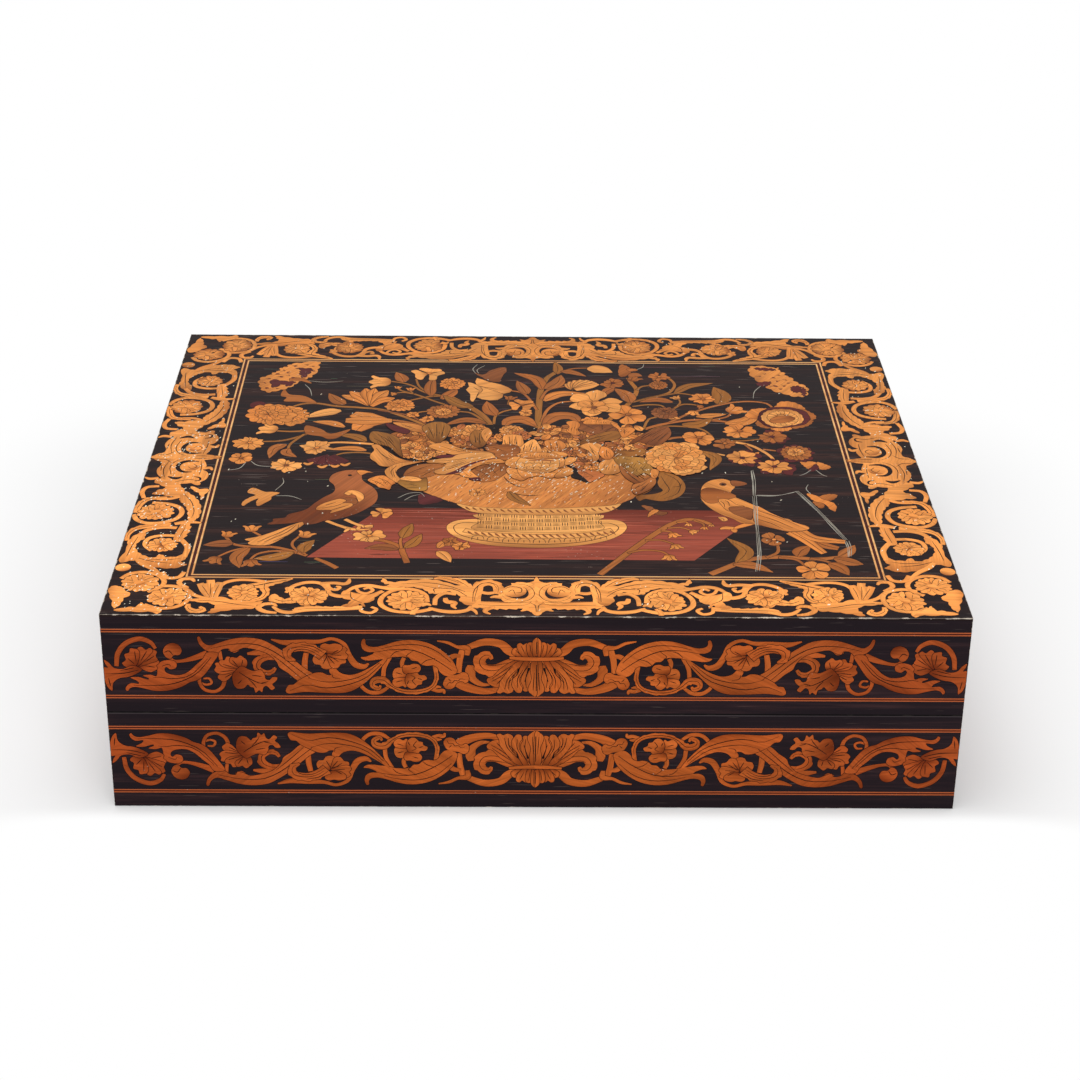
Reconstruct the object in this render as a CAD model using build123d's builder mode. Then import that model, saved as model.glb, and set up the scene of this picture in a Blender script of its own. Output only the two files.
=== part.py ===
from build123d import *
import os

# A backgammon box of two equal halves, hinged at the back. Open, the halves lie side by
# side and their trays are the playing board. Closed, the men and dice are kept inside.
# Millimetres. X runs along the front, Y goes to the back, Z is up. The origin is the middle
# of the underside. Both halves are drawn as the base, and the lid's are turned over the seam.

# Case
box_width = 480
box_depth = 390
half_height = 63
board_thickness = 10.5
top_board_thickness = 8
rebate_depth = 5.5
veneer_thickness = 1.5
rim_thickness = 1.5

# Through dovetails at the corners of the case
tail_count = 3
tail_slope = 1 / 6
pin_width = 6
edge_pin = 4

# Stringing let into the side veneers: a line near each edge, all round
string_width = 2.2
string_depth = 0.8
string_inset = 10.2

# Top of the lid: a border, a frame of two light lines about a dark one, and the picture
border_width = 41.5
light_line = 1.3
dark_line = 1.8

# Playing field of each tray
points_per_side = 6
field_margin = 9
point_spacing = 14
centre_lane = 76
neck_width = 1.6
finial_width = 8
finial_length = 12

# Butt hinges let into the meeting edges, with their barrels outside the back
hinge_from_end = 90
leaf_length = 50
leaf_thickness = 2
leaf_inset = 2
barrel_radius = 3
barrel_overhang = 1
knuckle_count = 3
pin_radius = 1.4

# Countersunk screw holes of the hinge leaves
holes_per_leaf = 2
hole_spacing = 32
hole_edge = 3.8
hole_radius = 1.15
countersink_radius = 2.35
countersink_angle = 90

# Men and dice
man_diameter = 44
man_thickness = 9
men_per_stack = 5
stacks_per_colour = 3
stack_to_wall = 4
die_size = 12
die_edge = 1.2
dice_count = 2
dice_spacing = 20

# Fits
glue_line = 0.05
leaf_fit = 0.05
leaf_gap = 0.3
knuckle_gap = 0.2
barrel_clearance = 0.3
running_clearance = 0.05

# Sizes that follow
wall_thickness = board_thickness + veneer_thickness
carcass_width = box_width - 2 * veneer_thickness
carcass_depth = box_depth - 2 * veneer_thickness
tray_width = box_width - 2 * wall_thickness
tray_depth = box_depth - 2 * wall_thickness
panel_width = tray_width + 2 * rebate_depth
panel_depth = tray_depth + 2 * rebate_depth
wall_top = half_height - rim_thickness

# The base's bottom board is as thick as the lid's top board with its veneer, so both
# playing fields are at one level when the box lies open.
floor_level = top_board_thickness + veneer_thickness
field_level = floor_level + veneer_thickness
skin_below = {"base": 0, "lid": veneer_thickness}

frame_width = 2 * light_line + dark_line
framed_width = box_width - 2 * border_width
framed_depth = box_depth - 2 * border_width

point_pitch = (tray_depth - 2 * field_margin) / points_per_side

hinge_y = box_depth / 2 + barrel_overhang
leaf_top = half_height - leaf_gap / 2
leaf_bottom = leaf_top - leaf_thickness
leaf_inner_y = tray_depth / 2 + leaf_inset
knuckle_pitch = (leaf_length + knuckle_gap) / knuckle_count
knuckle_length = knuckle_pitch - knuckle_gap
barrel_seat = barrel_radius + barrel_clearance
hinge_x_places = (hinge_from_end - box_width / 2, box_width / 2 - hinge_from_end)

stack_spacing = tray_width / (2 * stacks_per_colour)

seam = Plane.XY.offset(half_height)
ends = (-1, 1)


def keep(piece, label):
    """Label a finished piece and write it under its label."""
    piece.part.label = label
    export_step(piece.part, f"parts/{label}.step")


def keep_in(half, piece, label):
    """Keep a piece of one half. A piece of the lid is turned over the seam first."""
    with BuildPart() as placed:
        add(piece.part)
        if half == "lid":
            mirror(about=seam, mode=Mode.REPLACE)
    keep(placed, f"{half}_{label}")


def mitred_frame(width, depth, strip):
    """Draw four strips round a rectangle, mitred at its corners and a glue line apart."""
    Rectangle(width, depth)
    Rectangle(width - 2 * strip, depth - 2 * strip, mode=Mode.SUBTRACT)
    for x in ends:
        for y in ends:
            corner = Location((x * (width - strip) / 2, y * (depth - strip) / 2), 45 * x * y)
            with Locations(corner):
                Rectangle(2 * strip, glue_line, mode=Mode.SUBTRACT)


def dovetails():
    """Draw the tails at both ends of a side board, on the plane of its face."""
    tail_pitch = (wall_top - edge_pin - floor_level) / tail_count
    root = (tail_pitch - pin_width) / 2
    tip = root + tail_slope * board_thickness
    for end in ends:
        root_y = end * tray_depth / 2
        tip_y = end * carcass_depth / 2
        for number in range(tail_count):
            z = floor_level + tail_pitch * (number + 0.5)
            outline = [(root_y, z - root), (tip_y, z - tip), (tip_y, z + tip), (root_y, z + root)]
            Polygon(*outline, align=None)


def cut_rebate(skin):
    """Cut the place of the bottom or top board out of a wall."""
    with BuildSketch(Plane.XY.offset(skin)) as panel:
        Rectangle(panel_width, panel_depth)
    extrude(panel.sketch, amount=floor_level - skin, mode=Mode.SUBTRACT)


def cut_hinge_seats():
    """Cut the seats of both hinges, for their leaves and barrels."""
    with BuildSketch(Plane.XY.offset(leaf_bottom)) as leaves:
        with Locations(*[(x, (leaf_inner_y + hinge_y) / 2) for x in hinge_x_places]):
            Rectangle(leaf_length + 2 * leaf_fit, hinge_y - leaf_inner_y + 2 * leaf_fit)
    extrude(leaves.sketch, amount=half_height - leaf_bottom, mode=Mode.SUBTRACT)
    with BuildSketch(Plane.XY.offset(half_height)) as barrels:
        with Locations(*[(x, hinge_y) for x in hinge_x_places]):
            Rectangle(leaf_length + 2 * barrel_clearance, 2 * barrel_seat)
    extrude(barrels.sketch, amount=-barrel_seat, mode=Mode.SUBTRACT)


def cross_wall(skin, side):
    """A front (-1) or back (1) board, whose ends hold the pins between the tails."""
    with BuildPart() as board:
        with BuildSketch(Plane.XY.offset(skin)):
            with Locations((0, side * (tray_depth + board_thickness) / 2)):
                Rectangle(carcass_width, board_thickness)
        extrude(amount=wall_top - skin)
        for outer_x in (-carcass_width / 2, tray_width / 2):
            with BuildSketch(Plane.YZ.offset(outer_x)):
                dovetails()
            extrude(amount=board_thickness, mode=Mode.SUBTRACT)
        cut_rebate(skin)
        if side > 0:
            cut_hinge_seats()
    return board


def side_wall(skin, side):
    """A left (-1) or right (1) board, with a row of tails at each end."""
    outer_x = -carcass_width / 2 if side < 0 else tray_width / 2
    with BuildPart() as board:
        with BuildSketch(Plane.YZ.offset(outer_x)):
            with Locations((0, (skin + wall_top) / 2)):
                Rectangle(tray_depth, wall_top - skin)
            dovetails()
        extrude(amount=board_thickness)
        cut_rebate(skin)
    return board


def panel_board(skin):
    """The bottom board of the base or the top board of the lid, held in the rebate."""
    with BuildPart() as board:
        with BuildSketch(Plane.XY.offset(skin)):
            Rectangle(panel_width, panel_depth)
        extrude(amount=floor_level - skin)
    return board


def side_stringing():
    """The two lines of string round a half, mitred at the corners."""
    with BuildPart() as strings:
        for height in (string_inset, half_height - string_inset):
            with BuildSketch(Plane.XY.offset(height - string_width / 2)):
                mitred_frame(box_width, box_depth, string_depth)
        extrude(amount=string_width)
    return strings


def cut_string_grooves():
    """Cut the grooves of the string lines, as deep and as wide as the string."""
    inner_width = box_width - 2 * string_depth
    inner_depth = box_depth - 2 * string_depth
    for height in (string_inset, half_height - string_inset):
        with BuildSketch(Plane.XY.offset(height - string_width / 2)) as groove:
            Rectangle(box_width, box_depth)
            Rectangle(inner_width, inner_depth, mode=Mode.SUBTRACT)
        extrude(groove.sketch, amount=string_width, mode=Mode.SUBTRACT)


def cross_veneer(skin, side):
    """The veneer of a front (-1) or back (1), which covers the ends of the side veneers."""
    with BuildPart() as veneer:
        with BuildSketch(Plane.XY.offset(skin)):
            with Locations((0, side * (box_depth - veneer_thickness) / 2)):
                Rectangle(box_width, veneer_thickness)
        extrude(amount=wall_top - skin)
        cut_string_grooves()
        if side > 0:
            cut_hinge_seats()
    return veneer


def side_veneer(skin, side):
    """The veneer of a left (-1) or right (1) side."""
    with BuildPart() as veneer:
        with BuildSketch(Plane.XY.offset(skin)):
            with Locations((side * (box_width - veneer_thickness) / 2, 0)):
                Rectangle(veneer_thickness, carcass_depth)
        extrude(amount=wall_top - skin)
        cut_string_grooves()
    return veneer


def rim():
    """The mitred facing on the meeting edge of a half."""
    with BuildPart() as facing:
        with BuildSketch(Plane.XY.offset(wall_top)):
            mitred_frame(box_width, box_depth, wall_thickness)
        extrude(amount=rim_thickness)
        cut_hinge_seats()
    return facing


def draw_points(half, *shades):
    """Draw the points of a tray in these shades, each with a lozenge at its tip.

    Shade 0 is light and 1 is dark. Shades alternate along each side wall and across the tray.
    The lid starts with the other one, so that they also alternate across the hinge line when
    the box lies open.
    """
    for side in ends:
        wall_x = side * tray_width / 2
        tip_x = side * centre_lane / 2
        widest_x = tip_x + side * finial_length / 2
        neck_x = tip_x + side * finial_length
        for number in range(points_per_side):
            shade = (number + (side > 0) + (half == "lid")) % 2
            if shade not in shades:
                continue
            y = (number + 0.5) * point_pitch - tray_depth / 2 + field_margin
            edge = [
                (wall_x, (point_pitch - point_spacing) / 2),
                (neck_x, neck_width / 2),
                (widest_x, finial_width / 2),
            ]
            near = [(x, y - half_width) for x, half_width in edge]
            far = [(x, y + half_width) for x, half_width in reversed(edge)]
            Polygon(*near, (tip_x, y), *far, align=None)


def field_veneer(half):
    """The ground of the playing field, cut out for its points."""
    with BuildPart() as field:
        with BuildSketch(Plane.XY.offset(floor_level)):
            Rectangle(tray_width, tray_depth)
            with BuildSketch(mode=Mode.SUBTRACT):
                draw_points(half, 0, 1)
        extrude(amount=veneer_thickness)
    return field


def field_points(half, shade):
    """The points of one shade, let into the ground."""
    with BuildPart() as points:
        with BuildSketch(Plane.XY.offset(floor_level)):
            draw_points(half, shade)
        extrude(amount=veneer_thickness)
    return points


def top_frame(inset, strip):
    """A mitred frame of strips in the top face, this far in from the box's edge."""
    with BuildPart() as frame:
        with BuildSketch():
            mitred_frame(box_width - 2 * inset, box_depth - 2 * inset, strip)
        extrude(amount=veneer_thickness)
    return frame


def top_light_lines():
    """The outer and the inner light line about the dark one."""
    with BuildPart() as lines:
        for inset in (border_width, border_width + light_line + dark_line):
            with BuildSketch():
                mitred_frame(box_width - 2 * inset, box_depth - 2 * inset, light_line)
        extrude(amount=veneer_thickness)
    return lines


def picture_panel():
    """The marquetry panel inside the frame."""
    with BuildPart() as panel:
        with BuildSketch():
            Rectangle(framed_width - 2 * frame_width, framed_depth - 2 * frame_width)
        extrude(amount=veneer_thickness)
    return panel


def knuckle_x_places(first_knuckle):
    """The middles of every other knuckle of both hinges, from this one on."""
    first_step = (knuckle_length - leaf_length) / 2
    steps = [first_step + number * knuckle_pitch for number in range(knuckle_count)]
    return [x + step for x in hinge_x_places for step in steps[first_knuckle::2]]


def screw_hole_places():
    """The middles of the screw holes of one half's leaves, seen from above."""
    middle = (holes_per_leaf - 1) / 2
    steps = [(number - middle) * hole_spacing for number in range(holes_per_leaf)]
    return [(x + step, leaf_inner_y + hole_edge) for x in hinge_x_places for step in steps]


def hinge_leaves(first_knuckle, bore_clearance):
    """The two leaves of one half, with their knuckles from the first on and screw holes."""
    with BuildPart() as leaves:
        with BuildSketch(Plane.XY.offset(leaf_bottom)):
            with Locations(*[(x, (leaf_inner_y + hinge_y) / 2) for x in hinge_x_places]):
                Rectangle(leaf_length, hinge_y - leaf_inner_y)
            with Locations(*[(x, hinge_y) for x in knuckle_x_places(1 - first_knuckle)]):
                Rectangle(knuckle_pitch + knuckle_gap, 2 * barrel_seat, mode=Mode.SUBTRACT)
        extrude(amount=leaf_thickness)
        with Locations(*[(x, hinge_y, half_height) for x in knuckle_x_places(first_knuckle)]):
            Cylinder(barrel_radius, knuckle_length, rotation=(0, 90, 0))
        with Locations(*[(x, hinge_y, half_height) for x in hinge_x_places]):
            Cylinder(
                pin_radius + bore_clearance,
                leaf_length,
                rotation=(0, 90, 0),
                mode=Mode.SUBTRACT,
            )
        with Locations(Plane.XY.offset(leaf_top)):
            with Locations(*screw_hole_places()):
                CounterSinkHole(
                    hole_radius, countersink_radius, leaf_thickness, countersink_angle
                )
    return leaves


def hinge_pins():
    """The pins of both hinges, tight in the base's knuckles and free in the lid's."""
    with BuildPart() as pins:
        with Locations(*[(x, hinge_y, half_height) for x in hinge_x_places]):
            Cylinder(pin_radius, leaf_length, rotation=(0, 90, 0))
    return pins


def stacks_of_men(label, first_stack):
    """The men of one colour, in every other stack of the row along the back wall."""
    with BuildPart() as man:
        with BuildSketch():
            Circle(man_diameter / 2)
        extrude(amount=man_thickness)
    stack_y = tray_depth / 2 - stack_to_wall - man_diameter / 2
    men = []
    for stack in range(first_stack, 2 * stacks_per_colour, 2):
        stack_x = (stack + 0.5) * stack_spacing - tray_width / 2
        for level in range(men_per_stack):
            place = Location((stack_x, stack_y, field_level + level * man_thickness))
            men.append(man.part.solid().moved(place))
    # Stacked men touch, so they are grouped and not joined.
    stacks = Compound(label=label, children=men)
    export_step(stacks, f"parts/{label}.step")


def pair_of_dice():
    """The dice, in a row from the back wall in the middle gap between the stacks."""
    first_y = tray_depth / 2 - stack_to_wall - die_size / 2
    with BuildPart() as dice:
        with BuildSketch(Plane.XY.offset(field_level)):
            for number in range(dice_count):
                with Locations((0, first_y - number * dice_spacing)):
                    Rectangle(die_size, die_size)
        extrude(amount=die_size)
        chamfer(dice.edges(), die_edge)
    return dice


os.makedirs("parts", exist_ok=True)

for half, skin in skin_below.items():
    keep_in(half, cross_wall(skin, -1), "front_board")
    keep_in(half, cross_wall(skin, 1), "back_board")
    keep_in(half, side_wall(skin, -1), "left_board")
    keep_in(half, side_wall(skin, 1), "right_board")
    keep_in(half, cross_veneer(skin, -1), "front_veneer")
    keep_in(half, cross_veneer(skin, 1), "back_veneer")
    keep_in(half, side_veneer(skin, -1), "left_veneer")
    keep_in(half, side_veneer(skin, 1), "right_veneer")
    keep_in(half, side_stringing(), "side_stringing")
    keep_in(half, rim(), "rim")
    keep_in(half, field_veneer(half), "field_veneer")
    keep_in(half, field_points(half, 0), "light_points")
    keep_in(half, field_points(half, 1), "dark_points")

keep_in("base", panel_board(skin_below["base"]), "bottom_board")
keep_in("lid", panel_board(skin_below["lid"]), "top_board")

keep_in("lid", top_frame(0, border_width), "border_veneer")
keep_in("lid", top_light_lines(), "frame_light_lines")
keep_in("lid", top_frame(border_width + light_line, dark_line), "frame_dark_line")
keep_in("lid", picture_panel(), "picture_panel")

keep_in("base", hinge_leaves(0, 0), "hinge_leaves")
keep_in("lid", hinge_leaves(1, running_clearance), "hinge_leaves")
keep(hinge_pins(), "hinge_pins")

stacks_of_men("light_men", 0)
stacks_of_men("dark_men", 1)
keep(pair_of_dice(), "dice")
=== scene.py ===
import math
import random
from collections import namedtuple

import bpy
import numpy as np
from mathutils import Matrix, Vector


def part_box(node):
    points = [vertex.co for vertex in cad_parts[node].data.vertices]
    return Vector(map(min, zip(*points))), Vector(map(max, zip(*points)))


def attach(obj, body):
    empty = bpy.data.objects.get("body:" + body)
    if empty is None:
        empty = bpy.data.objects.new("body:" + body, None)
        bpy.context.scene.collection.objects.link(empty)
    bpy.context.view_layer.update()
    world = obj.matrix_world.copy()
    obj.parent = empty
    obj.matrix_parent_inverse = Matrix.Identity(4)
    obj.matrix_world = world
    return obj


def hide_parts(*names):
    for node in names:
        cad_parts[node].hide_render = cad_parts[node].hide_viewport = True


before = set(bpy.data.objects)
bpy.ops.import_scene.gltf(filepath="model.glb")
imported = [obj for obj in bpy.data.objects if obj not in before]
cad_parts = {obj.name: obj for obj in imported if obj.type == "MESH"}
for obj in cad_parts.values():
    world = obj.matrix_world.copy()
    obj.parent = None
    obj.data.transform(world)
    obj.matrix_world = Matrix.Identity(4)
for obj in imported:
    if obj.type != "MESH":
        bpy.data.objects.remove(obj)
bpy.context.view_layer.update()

# The looks of a backgammon box: dark veneers inlaid with scrolls, and on top a picture of an
# urn of flowers between two birds. Drawings are in millimetres on their own face and are
# turned into thin inlaid pieces. The turned men, dice and screws are in millimetres of the
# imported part's frame, and the floor and the lights are in metres of it.
MM = 0.001


def mm(*values):
    """Millimetres as metres."""
    return tuple(value * MM for value in values)


def colour(red, green, blue):
    """A colour as it is seen on a screen, 0 to 255, as linear light."""
    levels = [value / 255 for value in (red, green, blue)]
    return tuple(v / 12.92 if v <= 0.04045 else ((v + 0.055) / 1.055) ** 2.4 for v in levels)


# Sizes of the box, from its nodes
case_low, case_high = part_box("base_front_veneer")
lid_low, lid_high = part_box("lid_border_veneer")
box_width = (case_high.x - case_low.x) / MM
box_depth = (lid_high.y - lid_low.y) / MM
box_height = lid_high.z / MM
half_height = box_height / 2


class Nodes:
    """Builds the nodes of a material or of the room, with a short name for each kind of node."""

    def __init__(self, owner):
        owner.use_nodes = True
        self.tree = owner.node_tree

    def node(self, kind, inputs=(), **settings):
        made = self.tree.nodes.new("ShaderNode" + kind)
        for key, value in settings.items():
            setattr(made, key, value)
        for key, value in dict(inputs).items():
            self.put(made.inputs[key], value)
        return made

    def put(self, socket, value):
        if isinstance(value, bpy.types.NodeSocket):
            self.tree.links.new(value, socket)
        elif isinstance(value, tuple) and len(value) == 3 and socket.type == "RGBA":
            socket.default_value = (*value, 1)
        else:
            socket.default_value = value

    def place(self):
        return self.node("TexCoord").outputs["Object"]

    def attribute(self, name):
        return self.node("Attribute", attribute_name=name)

    def scaled(self, vector, factors):
        return self.node("VectorMath", {0: vector, 1: factors}, operation="MULTIPLY").outputs[0]

    def noise(self, vector, scale=1.0, detail=3.0, roughness=0.5, distortion=0.0):
        made = self.node("TexNoise", {"Vector": vector, "Scale": scale, "Detail": detail})
        made.inputs["Roughness"].default_value = roughness
        made.inputs["Distortion"].default_value = distortion
        return made.outputs[0]

    def math(self, operation, first, second=0.0, third=0.0):
        made = self.node("Math", {0: first, 1: second, 2: third}, operation=operation)
        return made.outputs[0]

    def band(self, value, low, high, to_low=0.0, to_high=1.0):
        """value between low and high as a share, held at the ends."""
        inputs = {0: value, 1: low, 2: high, 3: to_low, 4: to_high}
        return self.node("MapRange", inputs, interpolation_type="SMOOTHSTEP").outputs[0]

    def mix(self, share, first, second, blend="MIX"):
        made = self.node("Mix", data_type="RGBA", blend_type=blend)
        for key, value in {0: share, 6: first, 7: second}.items():
            self.put(made.inputs[key], value)
        return made.outputs[2]

    def axis(self, vector, name):
        return self.node("SeparateXYZ", {0: vector}).outputs[name]

    def seen(self):
        """1 for rays from the eye, from gloss and through glass, and 0 for all others."""
        rays = self.node("LightPath").outputs
        sharp = self.math("MAXIMUM", rays["Is Camera Ray"], rays["Is Glossy Ray"])
        return self.math("MAXIMUM", sharp, rays["Is Transmission Ray"])


class Shader(Nodes):
    """Builds one procedural material."""

    def __init__(self, name):
        self.material = bpy.data.materials.new(name)
        super().__init__(self.material)
        self.surface = self.tree.nodes["Principled BSDF"]

    def bump(self, height, strength, distance):
        made = self.node("Bump", {"Height": height, "Distance": distance})
        made.inputs["Strength"].default_value = strength
        self.put(self.surface.inputs["Normal"], made.outputs[0])

    def finish(self, base, roughness, **constants):
        self.put(self.surface.inputs["Base Color"], base)
        self.put(self.surface.inputs["Roughness"], roughness)
        for key, value in constants.items():
            self.surface.inputs[key.replace("_", " ")].default_value = value
        return self.material


WEAR = colour(196, 176, 158)
CRACK = colour(140, 124, 116)
# Pale edges of the ebony: rubbed wear in patches, and along the top edges a painted highlight
EDGE_WEAR_AND_HIGHLIGHT = colour(222, 208, 190)
# Painted highlight on the rounded edge of the base just below the seam
SEAM_HIGHLIGHT = colour(120, 110, 112)
BURN = colour(120, 78, 66)
# Metres that the bumps of a wood's grain are deep
grain_depth = 0.0002


def edge_gap(shader, place):
    """Distance of a point on the box to the nearest edge, the seam of the halves included."""
    x, y, z = (shader.axis(place, name) for name in "XYZ")
    gap_x = shader.math("SUBTRACT", box_width / 2 * MM, shader.math("ABSOLUTE", x))
    gap_y = shader.math("SUBTRACT", box_depth / 2 * MM, shader.math("ABSOLUTE", y))
    seam = shader.math("ABSOLUTE", shader.math("SUBTRACT", z, half_height * MM))
    ends = shader.math("SUBTRACT", half_height * MM, seam)
    gap_z = shader.math("MINIMUM", seam, ends)
    low = shader.math("MINIMUM", gap_x, gap_y)
    high = shader.math("MAXIMUM", gap_x, gap_y)
    return shader.math("MAXIMUM", low, shader.math("MINIMUM", high, gap_z)), seam


def worn(shader, place, base, amount):
    """Small pale chips and rubbed specks over a surface, thicker in some places than in others."""
    specks = shader.noise(shader.scaled(place, (560, 760, 760)), 1, 2, 0.5)
    zones = shader.noise(place, 26, 2, 0.5)
    level = shader.math("ADD", specks, shader.math("MULTIPLY", zones, 0.5))
    level = shader.math("ADD", level, amount)
    return shader.mix(shader.band(level, 0.95, 1.0, 0.0, 0.6), base, WEAR)


def along_grain(shader, place, axis, squeeze):
    """The place squeezed along one axis, so that noise on it is drawn out along that axis."""
    factors = [1.0, 1.0, 1.0]
    factors["xyz".index(axis)] = squeeze
    return shader.scaled(place, tuple(factors))


def ebony_material(name, along, dark, brown, scratch=0.15, gloss=0.05):
    """Dark veneer with brown streaks and fine pale scratches that run along one axis."""
    shader = Shader(name)
    place = shader.place()
    grain = along_grain(shader, place, along, 0.035)
    fine = shader.noise(grain, 900, 4, 0.6)
    broad = shader.noise(grain, 120, 3, 0.5, 0.6)
    streak = shader.math("MULTIPLY", shader.band(broad, 0.42, 0.72), shader.band(fine, 0.3, 0.75))
    base = shader.mix(streak, dark, brown)
    line = shader.noise(shader.scaled(grain, (1.7, 1.7, 1.7)), 640, 2, 0.4)
    crack = shader.band(line, 0.68, 0.73)
    base = shader.mix(shader.math("MULTIPLY", crack, scratch), base, CRACK)
    base = worn(shader, place, base, -0.14)
    gap, seam = edge_gap(shader, place)
    # Pale edges: rubbed wear in patches, and along the top edges, where reach and share are raised, a
    # painted highlight of the rounded edge
    rub = shader.noise(shader.scaled(place, (130, 130, 420)), 1, 4, 0.65)
    top = shader.band(shader.axis(place, "Z"), 0.9 * box_height * MM, box_height * MM)
    reach = shader.math("MULTIPLY", shader.band(rub, 0.44, 0.74, 0.00018, 0.0008),
                        shader.band(top, 0.0, 1.0, 0.3, 1.0))
    edge = shader.math("LESS_THAN", gap, reach)
    share = shader.math("MULTIPLY_ADD", top, 0.26, shader.band(rub, 0.48, 0.64, 0.0, 0.62))
    base = shader.mix(shader.math("MULTIPLY", edge, share), base, EDGE_WEAR_AND_HIGHLIGHT)
    # Painted highlight: a faint pale line on the rounded edge of the base just below the seam
    below = shader.math("LESS_THAN", shader.axis(place, "Z"), half_height * MM)
    arris_highlight = shader.math("MULTIPLY", below, shader.band(seam, 0.0008, 0.0013, 0.3, 0.0))
    base = shader.mix(shader.math("MULTIPLY", arris_highlight, shader.band(broad, 0.3, 0.6, 0.5, 1.0)), base,
                      SEAM_HIGHLIGHT)
    # Painted shade in the gap between the two halves: a black line along the seam
    joint = shader.band(seam, 0.0003, 0.0006, 0.95, 0.0)
    base = shader.mix(joint, base, (0.0, 0.0, 0.0))
    shader.bump(shader.math("ADD", fine, shader.math("MULTIPLY", crack, 0.8)), 0.25, grain_depth)
    rough = shader.band(broad, 0.2, 0.8, 0.34, 0.5)
    return shader.finish(base, rough, Specular_IOR_Level=gloss)


def wood_material(name, light, dark, along, rough, coat=0.0, joints=None):
    """Plain-sawn wood with pores and broad figure that run along one axis. Joints (half width,
    half depth, line width) darkens both edges of lines that are laid round a rectangle."""
    shader = Shader(name)
    place = shader.place()
    grain = along_grain(shader, place, along, 0.06)
    broad = shader.noise(grain, 95, 4, 0.55, 0.9)
    fine = shader.noise(grain, 1400, 3, 0.6)
    figure = shader.math("ADD", shader.math("MULTIPLY", broad, 0.75),
                         shader.math("MULTIPLY", fine, 0.25))
    base = shader.mix(shader.band(figure, 0.36, 0.64), dark, light)
    pores = shader.band(fine, 0.63, 0.72)
    base = shader.mix(shader.math("MULTIPLY", pores, 0.45), base, tuple(v * 0.4 for v in dark))
    if joints:
        half_width, half_depth, width = mm(*joints)
        beside = shader.math("SUBTRACT", shader.math("ABSOLUTE", shader.axis(place, "X")), half_width)
        beyond = shader.math("SUBTRACT", shader.math("ABSOLUTE", shader.axis(place, "Y")), half_depth)
        across = shader.math("SUBTRACT", shader.math("MAXIMUM", beside, beyond), width / 2)
        offset = shader.math("ABSOLUTE", across)
        dark_edge = shader.band(offset, width / 2 - 0.0004, width / 2 - 0.0002, 0.0, 0.9)
        base = shader.mix(dark_edge, base, KERF)
    shader.bump(fine, 0.2, grain_depth)
    sheen = shader.band(broad, 0.2, 0.8, rough - 0.08, rough + 0.08)
    return shader.finish(base, sheen, Coat_Weight=coat, Coat_Roughness=0.25, Specular_IOR_Level=0.08)


def inlay_material(name, wear, front=1.0, ends=(1.0, 1.0, 1.0)):
    """Inlaid wood: its own colour on each piece, grain along the cut and sand-burnt shading.
    Wear is 1 where the left end is chipped most. Front is how much lighter the wood is made
    towards the front of the box, and ends is its tint at the left and right of the box."""
    shader = Shader(name)
    tone = shader.attribute("tone")
    cut = shader.attribute("cut").outputs["Vector"]
    place = shader.place()
    fine = shader.noise(shader.scaled(cut, (45, 1100, 3)), 1, 4, 0.6)
    broad = shader.noise(shader.scaled(cut, (22, 170, 5)), 1, 3, 0.5)
    streak = shader.noise(shader.scaled(cut, (9, 620, 3)), 1, 3, 0.5)
    level = shader.math("ADD", shader.math("MULTIPLY", fine, 0.4), shader.math("MULTIPLY", broad, 0.45))
    level = shader.math("ADD", level, shader.math("MULTIPLY", streak, 0.4))
    # Lighter towards the front of the box, by the front share
    front_level = shader.band(shader.axis(place, "Y"), -box_depth / 2 * MM, box_depth / 2 * MM, front, 1.0)
    value = shader.math("MULTIPLY", shader.band(level, 0.42, 0.82, 0.7, 1.22), front_level)
    grey = shader.node("CombineXYZ", {0: value, 1: value, 2: value}).outputs[0]
    base = shader.mix(1.0, tone.outputs["Color"], grey, "MULTIPLY")
    outward = shader.band(shader.math("ABSOLUTE", shader.axis(place, "X")), 0.1 * box_width * MM,
                          0.5 * box_width * MM)
    base = shader.mix(1.0, base, shader.mix(outward, (1.0, 1.0, 1.0), ends), "MULTIPLY")
    burn = shader.math("MULTIPLY", shader.band(tone.outputs["Alpha"], 0.0, 1.0), 0.78)
    burn = shader.math("MULTIPLY", burn, shader.band(fine, 0.2, 0.7, 0.75, 1.0))
    base = shader.mix(burn, base, shader.mix(1.0, base, BURN, "MULTIPLY"))
    side = shader.band(shader.axis(place, "X"), -box_width / 2 * MM, -0.1 * box_width * MM, 0.085, 0.0)
    amount = shader.math("MULTIPLY_ADD", side, 0.6 * wear, -0.08 + 0.02 * wear)
    base = worn(shader, place, base, amount)
    shader.bump(fine, 0.22, grain_depth)
    return shader.finish(base, shader.band(broad, 0.2, 0.8, 0.36, 0.5), Specular_IOR_Level=0.04)


def string_material(name, light, dark, centres, dark_half_width):
    """A string line of three strips: light, dark, light, by height around each centre line."""
    shader = Shader(name)
    place = shader.place()
    height = shader.axis(place, "Z")
    nearest = None
    for centre in centres:
        gap = shader.math("ABSOLUTE", shader.math("SUBTRACT", height, centre * MM))
        nearest = gap if nearest is None else shader.math("MINIMUM", nearest, gap)
    fine = shader.noise(shader.scaled(place, (120, 120, 1500)), 1, 3, 0.6)
    share = shader.band(nearest, dark_half_width * MM * 0.8, dark_half_width * MM * 1.2)
    worn_light = shader.mix(fine, tuple(v * 0.75 for v in light), tuple(min(1, v * 1.2) for v in light))
    base = worn(shader, place, shader.mix(share, dark, worn_light), -0.05)
    shader.bump(fine, 0.2, grain_depth)
    return shader.finish(base, 0.45, Specular_IOR_Level=0.08)


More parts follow.
